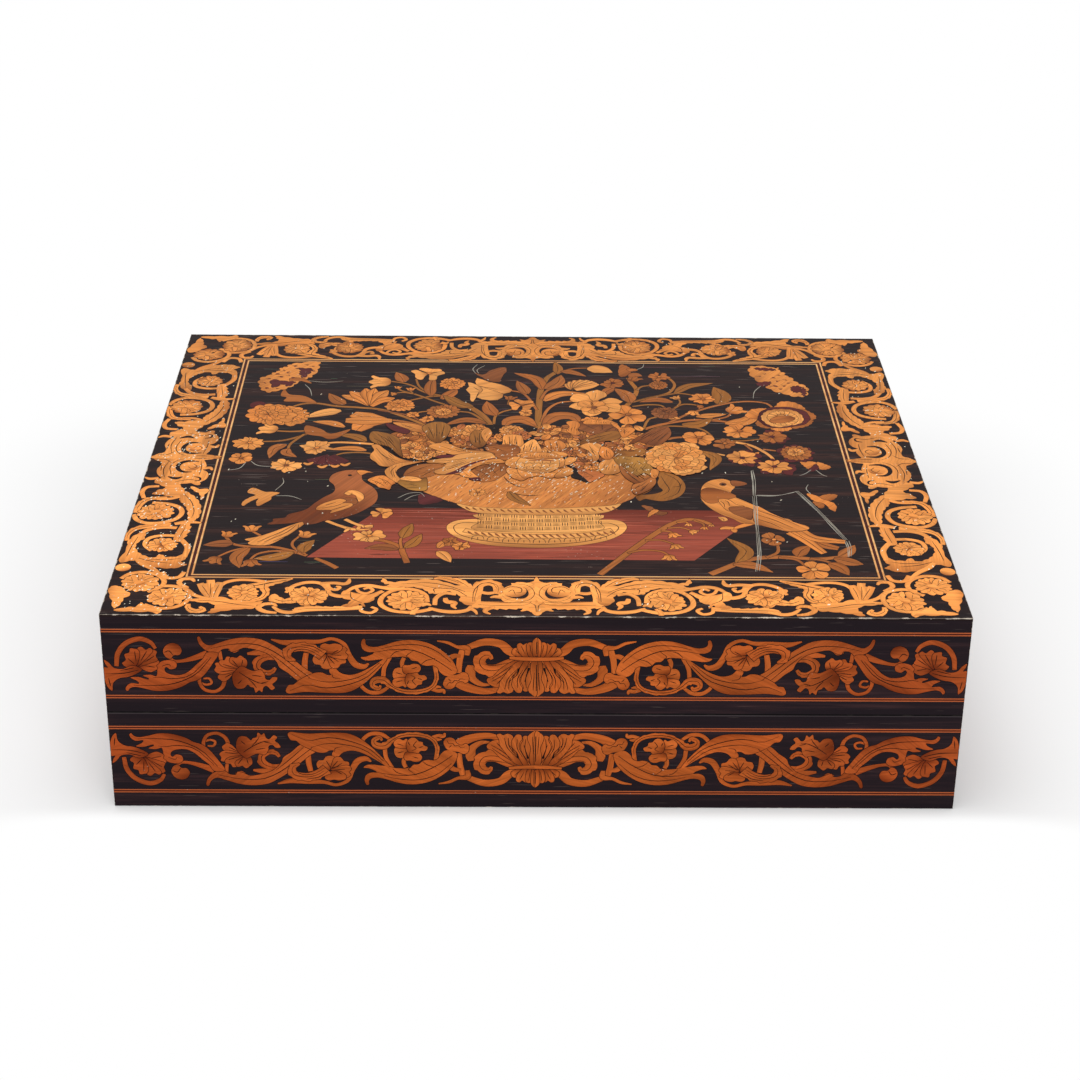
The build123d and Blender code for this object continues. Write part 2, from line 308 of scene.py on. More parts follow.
def spline(points, count, closed=False):
    """Evenly counted points on a smooth curve through the given ones."""
    knots = np.array(points, float)
    if knots.ndim == 1:
        knots = knots[:, None]
    if closed:
        knots = np.vstack([knots[-1:], knots, knots[:2]])
    else:
        knots = np.vstack([2 * knots[:1] - knots[1:2], knots, 2 * knots[-1:] - knots[-2:-1]])
    spans = len(knots) - 3
    steps = np.linspace(0, spans, count, endpoint=not closed)
    first = np.minimum(steps.astype(int), spans - 1)
    t = (steps - first)[:, None]
    a, b, c, d = (knots[first + number] for number in range(4))
    square, cube = 2 * a - 5 * b + 4 * c - d, 3 * b - a - 3 * c + d
    return 0.5 * (2 * b + (c - a) * t + square * t**2 + cube * t**3)


def spiral(x, y, radius, start, turns, end_radius=0.0, count=10):
    """Points round a centre, from an angle in degrees, drawn in to the end radius."""
    shares = np.linspace(0, 1, count)
    angles = np.radians(start + 360 * turns * shares)
    reach = radius + (end_radius - radius) * shares
    return [(x + r * math.cos(a), y + r * math.sin(a)) for r, a in zip(reach, angles)]


KERF = colour(26, 14, 12)
# Millimetres: the dark joint round a piece, how deep pieces reach into the ground, how far each
# stands above the ones that it covers, and how far they stay inside the edges of a face
kerf_width = 0.32
inlay_sink = 0.03
piece_step = 0.001
face_margin = 0.3
# Squares of a millimetre from the middle of a face to the end of its grid of heights
grid_half = 260
# Red share of a piece's colour above which it is inlaid wood and not a cut line
pale_tone = 0.2
# Leafy blades: the half width from which they are lobed, and the length of a lobe
lobed_half = 2.1
lobe_length = 5.2

Piece = namedtuple("Piece", "layer outline plan top_count faces tones cuts")


def covered(outline):
    """The square millimetres of a panel that a closed outline touches, as two index arrays."""
    following = np.roll(outline, -1, axis=0)
    longest = np.abs(following - outline).max()
    shares = np.linspace(0, 1, int(longest / 0.8) + 2)[:, None, None]
    rim = np.floor((outline + (following - outline) * shares).reshape(-1, 2)).astype(int)
    low, high = rim.min(axis=0), rim.max(axis=0) + 1
    mask = np.zeros(high - low, bool)
    mask[rim[:, 0] - low[0], rim[:, 1] - low[1]] = True
    if min(mask.shape) > 2:
        row = np.arange(low[1], high[1]) + 0.5
        column = np.arange(low[0], high[0]) + 0.5
        x0, y0 = outline[:, 0, None], outline[:, 1, None]
        x1, y1 = following[:, 0, None], following[:, 1, None]
        meets = (y0 > row) != (y1 > row)
        reach = x0 + (row - y0) * (x1 - x0) / np.where(y1 == y0, 1e-9, y1 - y0)
        crossings = ((column[:, None, None] < reach) & meets).sum(axis=1)
        mask |= crossings % 2 == 1
    return tuple(np.clip(cells + start + grid_half, 0, 2 * grid_half - 1)
                 for cells, start in zip(np.nonzero(mask), low))


def settle(name, mesh, body, replaced=()):
    """Put a mesh into the scene as a piece of a body, in the place of the replaced nodes."""
    piece = bpy.data.objects.new(name, mesh)
    bpy.context.scene.collection.objects.link(piece)
    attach(piece, body)
    if replaced:
        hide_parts(*replaced)


class Panel:
    """One face of the box and the inlaid pieces drawn on it, which become one mesh."""

    def __init__(self, name, origin, right, up, half_width, half_depth=1000, painted=False):
        self.name = name
        self.limit = np.array([half_width, half_depth]) - face_margin
        self.origin = Vector(origin) * MM
        self.right = Vector(right)
        self.up = Vector(up)
        self.out = self.right.cross(self.up)
        # How far below its own layer a piece's dark joint is laid, and above it an engraved line
        self.kerf_drop = 0.0 if painted else 0.5
        self.line_rise = 0.0 if painted else 0.4
        self.pieces = []

    def add(self, layer, outline, plan, top_count, faces, tones, cuts):
        """Keep a piece, cut off at the edges of the face. Its first points are its top, and the
        rest lie sunk in the ground."""
        outline, plan = (np.clip(points, -self.limit, self.limit) for points in (outline, plan))
        self.pieces.append(Piece(layer, outline, plan, top_count, faces, tones, cuts))

    def finish(self, body, material, slot):
        """Lay the pieces down by layer, each a hair above what it covers."""
        tops = np.zeros((2 * grid_half, 2 * grid_half))
        basis = np.array([self.right, self.up, self.out]) * MM
        points, all_faces, all_tones, all_cuts = [], [], [], []
        start = 0
        for piece in sorted(self.pieces, key=lambda piece: piece.layer):
            cells = covered(piece.outline)
            top = tops[cells].max() + piece_step
            tops[cells] = top
            heights = np.full(len(piece.plan), -inlay_sink)
            heights[:piece.top_count] = top
            points.append(np.column_stack([piece.plan, heights]) @ basis + np.array(self.origin))
            all_faces += [[start + number for number in face] for face in piece.faces]
            all_tones += piece.tones
            all_cuts += piece.cuts
            start += len(piece.plan)
        mesh = bpy.data.meshes.new(self.name)
        mesh.from_pydata(np.vstack(points).tolist(), [], all_faces)
        tone = mesh.attributes.new("tone", "FLOAT_COLOR", "POINT")
        tone.data.foreach_set("color", np.array(all_tones, np.float32).ravel())
        cut = mesh.attributes.new("cut", "FLOAT_VECTOR", "POINT")
        cut.data.foreach_set("vector", np.array(all_cuts, np.float32).ravel())
        mesh.materials.append(material)
        mesh.validate()
        settle(self.name, mesh, body)


class Pen:
    """Draws on a panel, in its own place, turn, size, layer and wood."""

    def __init__(self, panel, matrix=None, layer=0, wood=None, seed=1, leafy=False):
        self.panel = panel
        self.matrix = np.eye(3) if matrix is None else matrix
        self.layer = layer
        self.wood = wood
        self.leafy = leafy
        self.random = random.Random(seed)

    def at(self, x=0, y=0, turn=0, size=1, flip=False, rise=0, squash=1):
        """A pen that draws in a moved, turned, scaled or mirrored copy of this one's plane."""
        c, s = math.cos(math.radians(turn)), math.sin(math.radians(turn))
        wide = -size if flip else size
        tall = size * squash
        placed = np.array([[c * wide, -s * tall, x], [s * wide, c * tall, y], [0, 0, 1]])
        made = Pen(self.panel, self.matrix @ placed, self.layer + rise, self.wood, leafy=self.leafy)
        made.random = self.random
        return made

    def moved(self, plan):
        """Points of this pen's plane on the panel."""
        plan = np.array(plan, float)
        return plan @ self.matrix[:2, :2].T + self.matrix[:2, 2]

    def mirrored(self):
        return np.linalg.det(self.matrix) < 0

    def scale(self):
        return math.sqrt(abs(np.linalg.det(self.matrix)))

    def tint(self, wood):
        """The wood's colour, a little lighter or darker on each piece."""
        factor = 1 + self.random.uniform(-0.1, 0.1)
        warm = 1 + self.random.uniform(-0.04, 0.04)
        red, green, blue = wood or self.wood
        return red * factor, green * factor * warm, blue * factor * warm * warm

    def cuts(self, plan, turn):
        """Where each point lies in the sheet its piece was cut from."""
        c, s = math.cos(turn), math.sin(turn)
        shift = self.random.uniform(0, 9)
        return [((x * c + y * s) * MM, (y * c - x * s) * MM, shift) for x, y in plan]

    def strip(self, left, middle, right, tone, shades, turn, layer):
        """A closed thin piece between two sides, with a line of points down its middle."""
        count = len(left)
        plan = np.vstack([left, middle, right, left, right])
        rows = [number * count for number in range(5)]
        faces = []
        for a in range(count - 1):
            la, ma, ra, da, ea = (row + a for row in rows)
            lb, mb, rb, db, eb = (row + a + 1 for row in rows)
            faces += [[la, ma, mb, lb], [ma, ra, rb, mb], [da, db, eb, ea]]
            faces += [[la, lb, db, da], [ra, ea, eb, rb]]
        last = count - 1
        faces.append([0, 3 * count, 4 * count, 2 * count, count])
        faces.append([last, count + last, 2 * count + last, 4 * count + last, 3 * count + last])
        if self.mirrored():
            faces = [face[::-1] for face in faces]
        tones = [(*tone, shades[row]) for row in (0, 1, 2, 0, 2) for _ in range(count)]
        outline = np.vstack([left, right[::-1]])
        self.panel.add(layer, outline, plan, 3 * count, faces, tones, self.cuts(plan, turn))

    def blade(self, path, widths, wood=None, shades=(0.4, 0, 0), kerf=True, rise=0, count=None):
        """A stem, tongue or petal along a path, as wide on each side as the widths say.
        A leafy pen cuts lobes into the outer side of wide ones and engraves a vein."""
        lobed = self.leafy and kerf and max(widths) > lobed_half
        knots = np.array(path, float)
        reach = np.linalg.norm(np.diff(knots, axis=0), axis=1).sum() * self.scale()
        count = count or max(8, 4 * len(path), int(reach) if lobed else 0)
        middle = self.moved(spline(path, count))
        half = np.maximum(spline(widths, count) * self.scale(), 0.1)
        along = np.gradient(middle, axis=0)
        steps = np.linalg.norm(along, axis=1)[:, None]
        along /= steps + 1e-9
        side = np.stack([-along[:, 1], along[:, 0]], 1) * (-1 if self.mirrored() else 1)
        span = middle[-1] - middle[0]
        turn = math.atan2(span[1], span[0]) + self.random.uniform(-0.2, 0.2)
        layer = self.layer + rise
        left, right = half, half
        if lobed:
            way = knots[1:] - knots[:-1]
            bend = np.sum(way[:-1, 0] * way[1:, 1] - way[:-1, 1] * way[1:, 0])
            lobe = half * (0.8 + 0.42 * (np.cumsum(steps)[:, None] / lobe_length % 1))
            left, right = (half, lobe) if bend > 0 else (lobe, half)
        if kerf:
            ends = middle.copy()
            ends[0] -= along[0] * kerf_width
            ends[-1] += along[-1] * kerf_width
            outer_left = ends + side * (left + kerf_width)
            outer_right = ends - side * (right + kerf_width)
            self.strip(outer_left, ends, outer_right, KERF, (0, 0, 0), 0, layer - self.panel.kerf_drop)
        self.strip(middle + side * left, middle, middle - side * right, self.tint(wood), shades, turn,
                   layer)
        if lobed:
            vein = spline(path, 2 * len(path) + 1)[1:-1]
            self.line(vein if widths[0] >= widths[-1] else vein[::-1], 0.2, rise + self.panel.line_rise)

    def mark(self, path, widths, tone, rise=0, count=None):
        """A fleck, cut or scratch of one even colour, with no dark joint round it."""
        self.blade(path, widths, tone, (0, 0, 0), False, rise, count)

    def line(self, path, width=0.22, rise=None):
        """An engraved line, thin at its end, as wide on the box whatever the pen's size."""
        widths = [width * share / self.scale() for share in (0.6, 1.0, 0.35)]
        rise = self.panel.line_rise if rise is None else rise
        self.mark(path, widths, KERF, rise, max(5, 2 * len(path) + 1))

    def patch(self, outline, wood=None, shade=None, turn=0, kerf=True, rise=0, smooth=4, over=False):
        """A closed piece inside an outline. Shade (angle, from, to) burns it along that way.
        Over cuts its dark joint into what lies below it in the same layer."""
        plan = np.array(outline, float)
        if smooth > 1:
            plan = spline(plan, smooth * len(plan), closed=True)
        plan = self.moved(plan)
        x, y = plan[:, 0], plan[:, 1]
        if np.sum(x * np.roll(y, -1) - y * np.roll(x, -1)) < 0:
            plan = plan[::-1]
        layer = self.layer + rise
        if kerf:
            step = np.roll(plan, -1, axis=0) - np.roll(plan, 1, axis=0)
            step /= np.linalg.norm(step, axis=1)[:, None] + 1e-9
            outer = plan + np.stack([step[:, 1], -step[:, 0]], 1) * kerf_width
            self.plate(outer, KERF, None, 0, layer - (0 if over else self.panel.kerf_drop))
        self.plate(plan, self.tint(wood), shade, turn, layer)

    def plate(self, plan, tone, shade, turn, layer):
        """A closed flat piece inside an outline that is on the panel already."""
        count = len(plan)
        faces = [list(range(count)), list(range(2 * count - 1, count - 1, -1))]
        faces += [[a, a + count, (a + 1) % count + count, (a + 1) % count] for a in range(count)]
        burnt = np.zeros(count)
        if shade:
            angle, low, high = shade
            way = np.array([math.cos(math.radians(angle)), math.sin(math.radians(angle))])
            if self.mirrored():
                way[0] = -way[0]
            reach = plan @ way
            burnt = low + (high - low) * (reach - reach.min()) / (np.ptp(reach) + 1e-9)
        tones = [(*tone, shade) for shade in burnt] * 2
        grain = math.radians(turn) + self.random.uniform(-0.15, 0.15)
        self.panel.add(layer, plan, np.vstack([plan, plan]), count, faces, tones,
                       self.cuts(plan, grain) * 2)

    def disc(self, x, y, radius, wood=None, rise=0, kerf=True):
        outline = spiral(x, y, radius, 0, 11 / 12, radius, 12)
        self.patch(outline, wood, (300, -0.6, 0.9), rise=rise, kerf=kerf, smooth=2)

    def rosette(self, x, y, radius, lobes, turn=0, wood=None, squash=1.0, rings=2):
        """A ruffled flower: rings of broad uneven petals, the inner ones on top and off the middle."""
        chance = self.random
        flower = self.at(x, y, turn, radius, squash=squash)
        for ring in range(rings):
            widths = [chance.uniform(0.6, 1.4) for _ in range(max(3, lobes - 2 * ring))]
            start = 50 * ring
            for width in widths:
                wide = width * 360 / sum(widths)
                angle = start + wide / 2
                start += wide
                size = (1 - 0.4 * ring) * chance.uniform(0.88, 1.06)
                petal = flower.at(0.2 * ring, 0.08 * ring, angle, size)
                bumps = 3 if wide > 66 else 2
                outline = []
                for share in np.linspace(-0.5, 0.5, 4 * bumps + 1):
                    wave = 0.12 * abs(math.sin(math.pi * bumps * (share + 0.5)))
                    reach = 0.87 + wave - 0.9 * max(0, abs(share) - 0.38)
                    bend = math.radians(share * wide * 1.08)
                    reach += chance.uniform(-0.03, 0.03)
                    outline.append((reach * math.cos(bend), reach * math.sin(bend)))
                outline += [(0.34, 0.25), (0.02, 0), (0.34, -0.25)]
                shade = (turn + angle, chance.uniform(0.5, 1.2), chance.uniform(-1.2, -0.5))
                petal.patch(outline, wood, shade, turn + angle, smooth=2, over=True)
                if radius > 5:
                    for share in (-0.2, 0.22)[:3 - lobes // (4 * rings) - ring]:
                        bend = math.radians(share * wide)
                        tip = (0.78 * math.cos(bend), 0.78 * math.sin(bend))
                        petal.line([tip, (0.6, 0.3 * bend), (0.36, 0.1)], 0.15)
        self.disc(x + 0.16 * radius, y + 0.1 * radius, radius * 0.15, wood)


AMBER = colour(184, 92, 38)
RUST = colour(190, 108, 58)
GOLD = colour(222, 142, 72)
STRAW = colour(232, 156, 84)
HONEY = colour(216, 132, 64)
COPPER = colour(168, 98, 48)
OLIVE = colour(158, 100, 46)
MOSS = colour(172, 116, 52)
BROWN = colour(138, 80, 44)
PLUM = colour(88, 36, 36)
FEATHER = colour(160, 90, 50)
TABLE = colour(152, 73, 56)
SCRATCH = colour(168, 162, 148)
CHIP = colour(226, 216, 192)
PALE = colour(238, 166, 92)
BOWL = colour(206, 130, 68)


def front_scrolls(pen, outer=True):
    """The left half of a side's scrolls, from the middle out. The right half is its mirror."""
    # Shell in the middle: a tall fan, a band and a small fan below it
    smooth = pen.at()
    smooth.leafy = False
    pen.patch([(0.4, 26), (-10, 26.4), (-17, 31), (-20, 40), (-14, 45), (-6, 46), (0.4, 46)], rise=-3)
    for outline, angle in (
        ([(-8, 28), (-13, 32.4), (-17, 37), (-19.4, 41), (-19.6, 44.8), (-23, 45.4), (-26, 43.8),
          (-27.6, 41.4), (-26.8, 39.6), (-24, 38.4), (-20, 33.6), (-13, 28.6)], 150),
        ([(-6, 28), (-10.6, 34), (-13.4, 39), (-13, 44), (-12.6, 46.6), (-13.6, 48.8), (-16, 49.7),
          (-18.4, 48.7), (-20, 49.7), (-22, 48.8), (-20.6, 45.6), (-20.2, 42), (-17, 37), (-12, 30)],
         120),
        ([(-3.6, 28), (-7, 35), (-9.4, 40), (-9, 44), (-7.8, 46), (-8.4, 48.8), (-10.6, 49.1),
          (-12.2, 47.2), (-13.6, 44), (-12.6, 39), (-9.6, 34), (-6.4, 28)], 105),
        ([(-1.6, 28), (-5.2, 33), (-7.6, 37.4), (-8.6, 41.6), (-7, 45.4), (-7.4, 47.4), (-6, 48.4),
          (-4.2, 47.6), (-3.8, 44), (-2.6, 40), (-3, 34)], 95),
        ([(0.4, 27), (-2.4, 28), (-3.4, 34), (-2.6, 40), (-4.2, 45), (-4.5, 47.6), (-2.9, 49.8),
          (0.4, 50.1)], 90),
    ):
        pen.patch(outline, shade=(angle, 0.9, -0.6), turn=angle, smooth=3, over=True)
    for path in (
        [(-0.1, 48), (-0.1, 31)], [(-1.8, 47.6), (-1.2, 36)], [(-5.6, 46), (-6, 40), (-4.4, 33)],
        [(-10.4, 46), (-10.4, 40), (-7.4, 34)], [(-17.6, 47), (-16, 40.4), (-11, 34)],
        [(-15.4, 47), (-15, 41.6), (-12.6, 37)], [(-25, 42), (-19, 38), (-13, 32)],
        [(-24.6, 40), (-18.6, 35.2), (-13, 31)], [(-22, 43.6), (-18.6, 39.4)],
    ):
        pen.line(path, 0.24, 1)
    for eye_x, eye_y, end_x, end_y in ((-4.2, 33, -6.6, 42), (-9.9, 33.4, -15.5, 42.5)):
        pen.mark([(end_x, end_y), (eye_x - 1, eye_y + 4), (eye_x, eye_y)], [0.15, 0.25, 0.75], KERF, 1)
    pen.blade([(-9, 28), (-16, 31.6), (-22.4, 34.6), (-29, 34), (-31.8, 29.4), (-29.6, 25.4),
               (-26.2, 25.2), (-24.8, 27.5)], [3, 3.8, 3.8, 3.6, 3.4, 2.8, 2, 0.8], rise=-2)
    pen.line([(-28.6, 30.4), (-26, 31.6), (-21, 31), (-14, 29.5)], rise=1)
    for outline in (
        [(-7.4, 26), (-11.4, 25.4), (-13.8, 23.6), (-13.2, 21), (-11, 20), (-8.6, 21)],
        [(-3.6, 26), (-8, 25.4), (-10.6, 21), (-10.8, 18), (-9, 17), (-7.4, 18.2), (-6, 17.2),
         (-4.6, 18)],
        [(-0.6, 26), (-4.4, 25.4), (-5.6, 20), (-5.2, 17.4), (-3.8, 16.5), (-2, 17.4), (-1.6, 21)],
        [(0.4, 26), (-1.8, 25.6), (-2.4, 21), (-2.5, 17), (-1.6, 14.8), (0.4, 14.2)],
    ):
        pen.patch(outline, shade=(270, 0.9, -0.5), turn=90, smooth=3, rise=-0.5, over=True)
    for path in (
        [(-0.1, 16), (-0.1, 24)], [(-3.8, 18), (-3, 24)], [(-8.6, 19), (-6.4, 24)],
        [(-11.6, 21.6), (-9.6, 24)],
    ):
        pen.line(path, 0.22, 1)
    smooth.blade([(-15, 26.6), (-8, 27.2), (0.5, 27.4)], [0.8, 1.1, 1.2], rise=2)
    # Scrolls that hold the shell
    smooth.blade([(-11, 25), (-15.4, 22), (-20, 17.6), (-29, 16.4), (-38.5, 20)],
                 [1.6, 2.6, 2.4, 2.2, 1.7], rise=-3)
    smooth.blade([(-19, 46), (-26, 48.2), (-33, 47.6), (-40, 45), (-46, 40.4)],
                 [1.6, 1.9, 2.3, 2.9, 3.4], rise=-2)
    smooth.blade([(-26, 44), (-31, 43.6), (-35.6, 40), (-36.8, 35), (-36.6, 31.4)],
                 [0.6, 1.4, 2.1, 2.8, 1.6], rise=-3)
    pen.patch([(-37.6, 39.6), (-38.6, 36.8), (-41, 36), (-43.6, 37.4), (-46.4, 37.8), (-49.6, 38.8),
               (-51.2, 41), (-52, 43.8), (-50.6, 46.4), (-48, 47), (-45.8, 45.8), (-44.8, 43.6),
               (-42.8, 42), (-41, 42), (-39.6, 43), (-38, 41.8)], shade=(120, -0.6, 0.6), smooth=3)
    pen.line([(-50, 45), (-48.8, 42.8), (-46.8, 43), (-45.6, 41.4), (-43.6, 41.6), (-42, 40.2),
              (-39.8, 40.8)], rise=1)
    pen.line([(-49, 40.2), (-47.4, 42)], rise=1)
    pen.blade([(-43.2, 36.5), (-42.6, 28), (-41, 21.5)], [1.5, 1.7, 1.7], rise=-1)
    pen.blade([(-38.5, 25), (-38.5, 20.5), (-44, 19.6), (-49, 17), (-55, 15.8)],
              [1.2, 1.7, 1, 0.9, 0.4])
    pen.blade([(-49.5, 28.5), (-46, 25.6), (-42, 25.4)], [1.6, 1.5, 1], rise=-1)
    # Long leaf along the bottom
    pen.patch([(-44.5, 36.5), (-50, 38.5), (-53.5, 36), (-55, 33), (-57.5, 31.6), (-61, 31.9),
               (-64, 31), (-66, 29), (-69, 28.6), (-70.6, 27), (-74, 26), (-77, 26.2), (-80, 26.4),
               (-84, 27.6), (-88, 28), (-92, 28.6), (-95.5, 28.3), (-97.4, 26.6), (-94.6, 26.2),
               (-91, 24.6), (-90, 23.2), (-93, 23.2), (-96, 21.6), (-97, 18), (-96, 15), (-94.6, 15.2),
               (-94.6, 17.6), (-93, 19.4), (-89, 19.9), (-84, 18.6), (-79, 16.8), (-74, 15.6),
               (-68, 15.4), (-62, 16.6), (-57, 18.8), (-52, 22.4), (-48.4, 26), (-46, 29.6),
               (-44.6, 33)], shade=(255, -1, 0.7), turn=155)
    for path in (
        [(-64, 31), (-61, 28.4), (-56, 27)], [(-70.4, 27), (-72, 25.4), (-68, 22)],
        [(-81, 26), (-78, 23), (-72, 21.6)],
    ):
        pen.line(path, rise=1)
    pen.line([(-47, 35), (-56, 28), (-68, 22), (-80, 21.6), (-90, 23.4)], 0.28, rise=1)
    pen.line([(-47.6, 29.6), (-56, 22), (-66, 18.4), (-77, 18.8), (-86, 21)], 0.24, rise=1)
    # First flower in its ring of stem
    for path, widths, rise in (
        ([(-74, 34), (-74.6, 30), (-73.4, 26.8)], [1.2, 1.2, 1.2], -2),
        ([(-56.4, 32), (-55.6, 40), (-58.6, 46), (-66, 48.8), (-75, 48.3), (-81, 45), (-85, 41.4),
          (-90, 41.6), (-91.2, 45), (-88, 46.8), (-86.6, 44.8)],
         [1.2, 1.2, 1.2, 1.4, 1.3, 1.4, 2.2, 2, 1.4, 1.2, 0.6], -3),
        ([(-97.6, 40), (-97.6, 45), (-93, 49.2), (-87, 49), (-82, 45.6)], [1, 1.1, 1.2, 1.3, 0.8], -4),
        ([(-59, 47), (-55, 48.2), (-52, 48), (-51.2, 50)], [0.8, 1.1, 1.2, 0.5], -4),
        ([(-58, 46.6), (-55.5, 45.6), (-53, 45.8)], [0.8, 1, 0.4], -4),
        ([(-85.2, 40), (-84.4, 33), (-81, 26)], [1.2, 1.2, 1.2], -4),
    ):
        pen.blade(path, widths, rise=rise)
    for outline, angle in (
        ([(-79.4, 40), (-79.8, 36.4), (-78.4, 33.8), (-75.4, 33.2), (-73, 35), (-72, 38), (-73, 40.6),
          (-76, 40.8)], 220),
        ([(-79.2, 40.6), (-80, 43.6), (-77.6, 46), (-74.6, 45), (-72.8, 46), (-71.4, 43), (-72, 40),
          (-75, 39.6)], 140),
        ([(-73.4, 36.8), (-70, 37.4), (-65.6, 36), (-64.2, 33.6), (-65.4, 31.2), (-68.4, 30.6),
          (-71, 31.6), (-73.6, 31.6), (-74.4, 34)], 290),
        ([(-72.6, 39), (-73, 42), (-72, 45), (-69.8, 46.8), (-67.4, 46.2), (-66, 44.4), (-63.8, 43.8),
          (-63.4, 41.8), (-61, 40.4), (-62, 38.2), (-65, 38), (-66.4, 36.4), (-69.4, 37), (-71.4, 37)],
         40),
    ):
        pen.patch(outline, shade=(angle, 0.9, -0.6), smooth=3, over=True)
    for path in (
        [(-67, 44.6), (-69, 41.6), (-67.4, 39.6), (-70, 38)],
        [(-63.6, 41), (-66, 40)],
        [(-78, 42.6), (-74.6, 41.4)],
        [(-78, 36.4), (-74.6, 37.6)],
        [(-66.4, 33), (-69.6, 34)],
        [(-72, 44), (-71, 41.6)],
    ):
        pen.line(path, 0.26, 1)
    # Long leaf along the top, and the stem that it rides on
    pen.patch([(-82.4, 25.6), (-86, 28.6), (-90, 31.6), (-96, 35.4), (-101, 37.6), (-105, 38),
               (-109, 36.6), (-112, 33.4), (-114.6, 33.4), (-115, 36), (-114, 38), (-116.5, 38),
               (-119, 36.6), (-123, 36.8), (-127, 38.6), (-132, 41.6), (-135, 44.4), (-138, 45),
               (-139.6, 48.6), (-138, 50.3), (-134, 49.8), (-128, 49.2), (-120, 49.6), (-112, 49.9),
               (-106, 49.4), (-101, 47.4), (-96, 43.6), (-92, 39.6), (-88, 35), (-84, 29.6)],
              shade=(80, -1, 0.7), turn=-20)
    pen.line([(-86, 31), (-95, 40), (-107, 45), (-118, 46.6), (-128, 44.6), (-137.4, 48.6)], 0.28,
             rise=1)
    pen.line([(-87, 30), (-97, 38.6), (-108, 42), (-118, 42.6), (-127, 40)], 0.24, rise=1)
    pen.line([(-113.6, 37), (-113, 39.6), (-109, 40.6)], rise=1)
    pen.blade([(-128.6, 37), (-128.4, 30), (-127.4, 24)], [1.6, 1.6, 1.4], rise=-4)
    pen.patch([(-120, 42.4), (-128, 43.4), (-133, 41.6), (-138, 36.8), (-142.4, 33.4), (-144, 29.6),
               (-148, 25), (-153, 22.6), (-158, 21.2), (-162, 20.8), (-165.6, 22.6), (-168.8, 23.4),
               (-170, 21.4), (-173.6, 21.8), (-176.6, 24.4), (-180.4, 23.6), (-183.4, 22),
               (-186.2, 18.4), (-187, 14.4), (-185.6, 14), (-184, 17.4), (-180.6, 19.4), (-175, 17.6),
               (-168, 15.2), (-160, 14.3), (-152, 15.5), (-146, 18.8), (-140, 23.2), (-134, 28.8),
               (-128, 34.4), (-124, 37.4)], shade=(250, -1, 0.7), turn=35, rise=-1)
    pen.line([(-126, 40), (-135, 32), (-144, 24), (-155, 18.6), (-168, 18.6), (-180, 21.4)], 0.28)
    pen.line([(-131, 40), (-140, 31), (-147, 24.6)], 0.24)
    # Second flower, its leafy curl and the stem under it
    pen.blade([(-133.6, 29), (-137.6, 26.5), (-137, 21.8), (-130, 20), (-123, 22), (-118.4, 25.6)],
              [0.7, 2, 2.6, 2.7, 3, 3.2], rise=1)
    pen.line([(-135.5, 25), (-133, 22), (-126, 22), (-119, 26.6)], rise=2)
    pen.line([(-130, 18.6), (-123, 20), (-117.6, 24)], 0.26, 2)
    pen.blade([(-146.5, 15.4), (-139, 17.4), (-129, 17), (-120, 16.6), (-113, 14.8), (-106.5, 18),
               (-104, 25), (-100.6, 31), (-96, 32.6), (-93, 30.6)],
              [0.4, 1.6, 1.6, 1.2, 1, 1.2, 1.6, 1.9, 1.6, 0.5], rise=-3)
    for outline, angle in (
        ([(-116, 25), (-122, 25), (-124, 28), (-123, 31), (-120, 31.6), (-118.6, 33.8), (-115.6, 34.4),
          (-113.4, 32.8), (-114, 28)], 120),
        ([(-116, 25), (-115, 30), (-113.6, 33.2), (-110.4, 33.6), (-108.4, 31), (-105.8, 30.2),
          (-106, 27.6), (-110, 26)], 40),
        ([(-116, 25.4), (-110, 27.6), (-106, 28), (-104.4, 25.6), (-105.8, 23.4), (-104.8, 21.4),
          (-107.4, 19.8), (-112, 21.6)], 350),
        ([(-118.4, 22), (-115.6, 24.2), (-111, 24), (-107.6, 21.4), (-108, 18.8), (-111.6, 17.8),
          (-114.4, 18.4), (-117.4, 17.8), (-119.6, 19.6)], 280),
    ):
        pen.patch(outline, shade=(angle, 0.9, -0.6), smooth=3, over=True)
    for path in (
        [(-116, 26), (-118.4, 31)], [(-115.6, 26), (-112, 31)], [(-115, 25.6), (-109.6, 29.4)],
        [(-114, 25), (-108, 25.4)], [(-113, 24), (-109.6, 22)],
    ):
        pen.line(path[::-1], 0.26, 1)
    # Tongues and the hook of the leaf under the third flower
    for path, widths, rise in (
        ([(-147, 22), (-153, 23.6), (-160, 24.6)], [1.4, 1.9, 0.7], -2),
        ([(-143, 27.6), (-149, 26.6), (-154, 29), (-155, 33.6), (-151, 36.6), (-147, 36.4),
          (-144.8, 33.6)], [1.4, 2, 2.4, 2, 1.6, 1.5, 0.8], -2),
        ([(-164, 20), (-167, 22.6), (-170, 22)], [1.4, 1.3, 0.5], -2),
        ([(-175.4, 23), (-174.6, 28.6)], [1.2, 1], -3),
    ):
        pen.blade(path, widths, rise=rise)
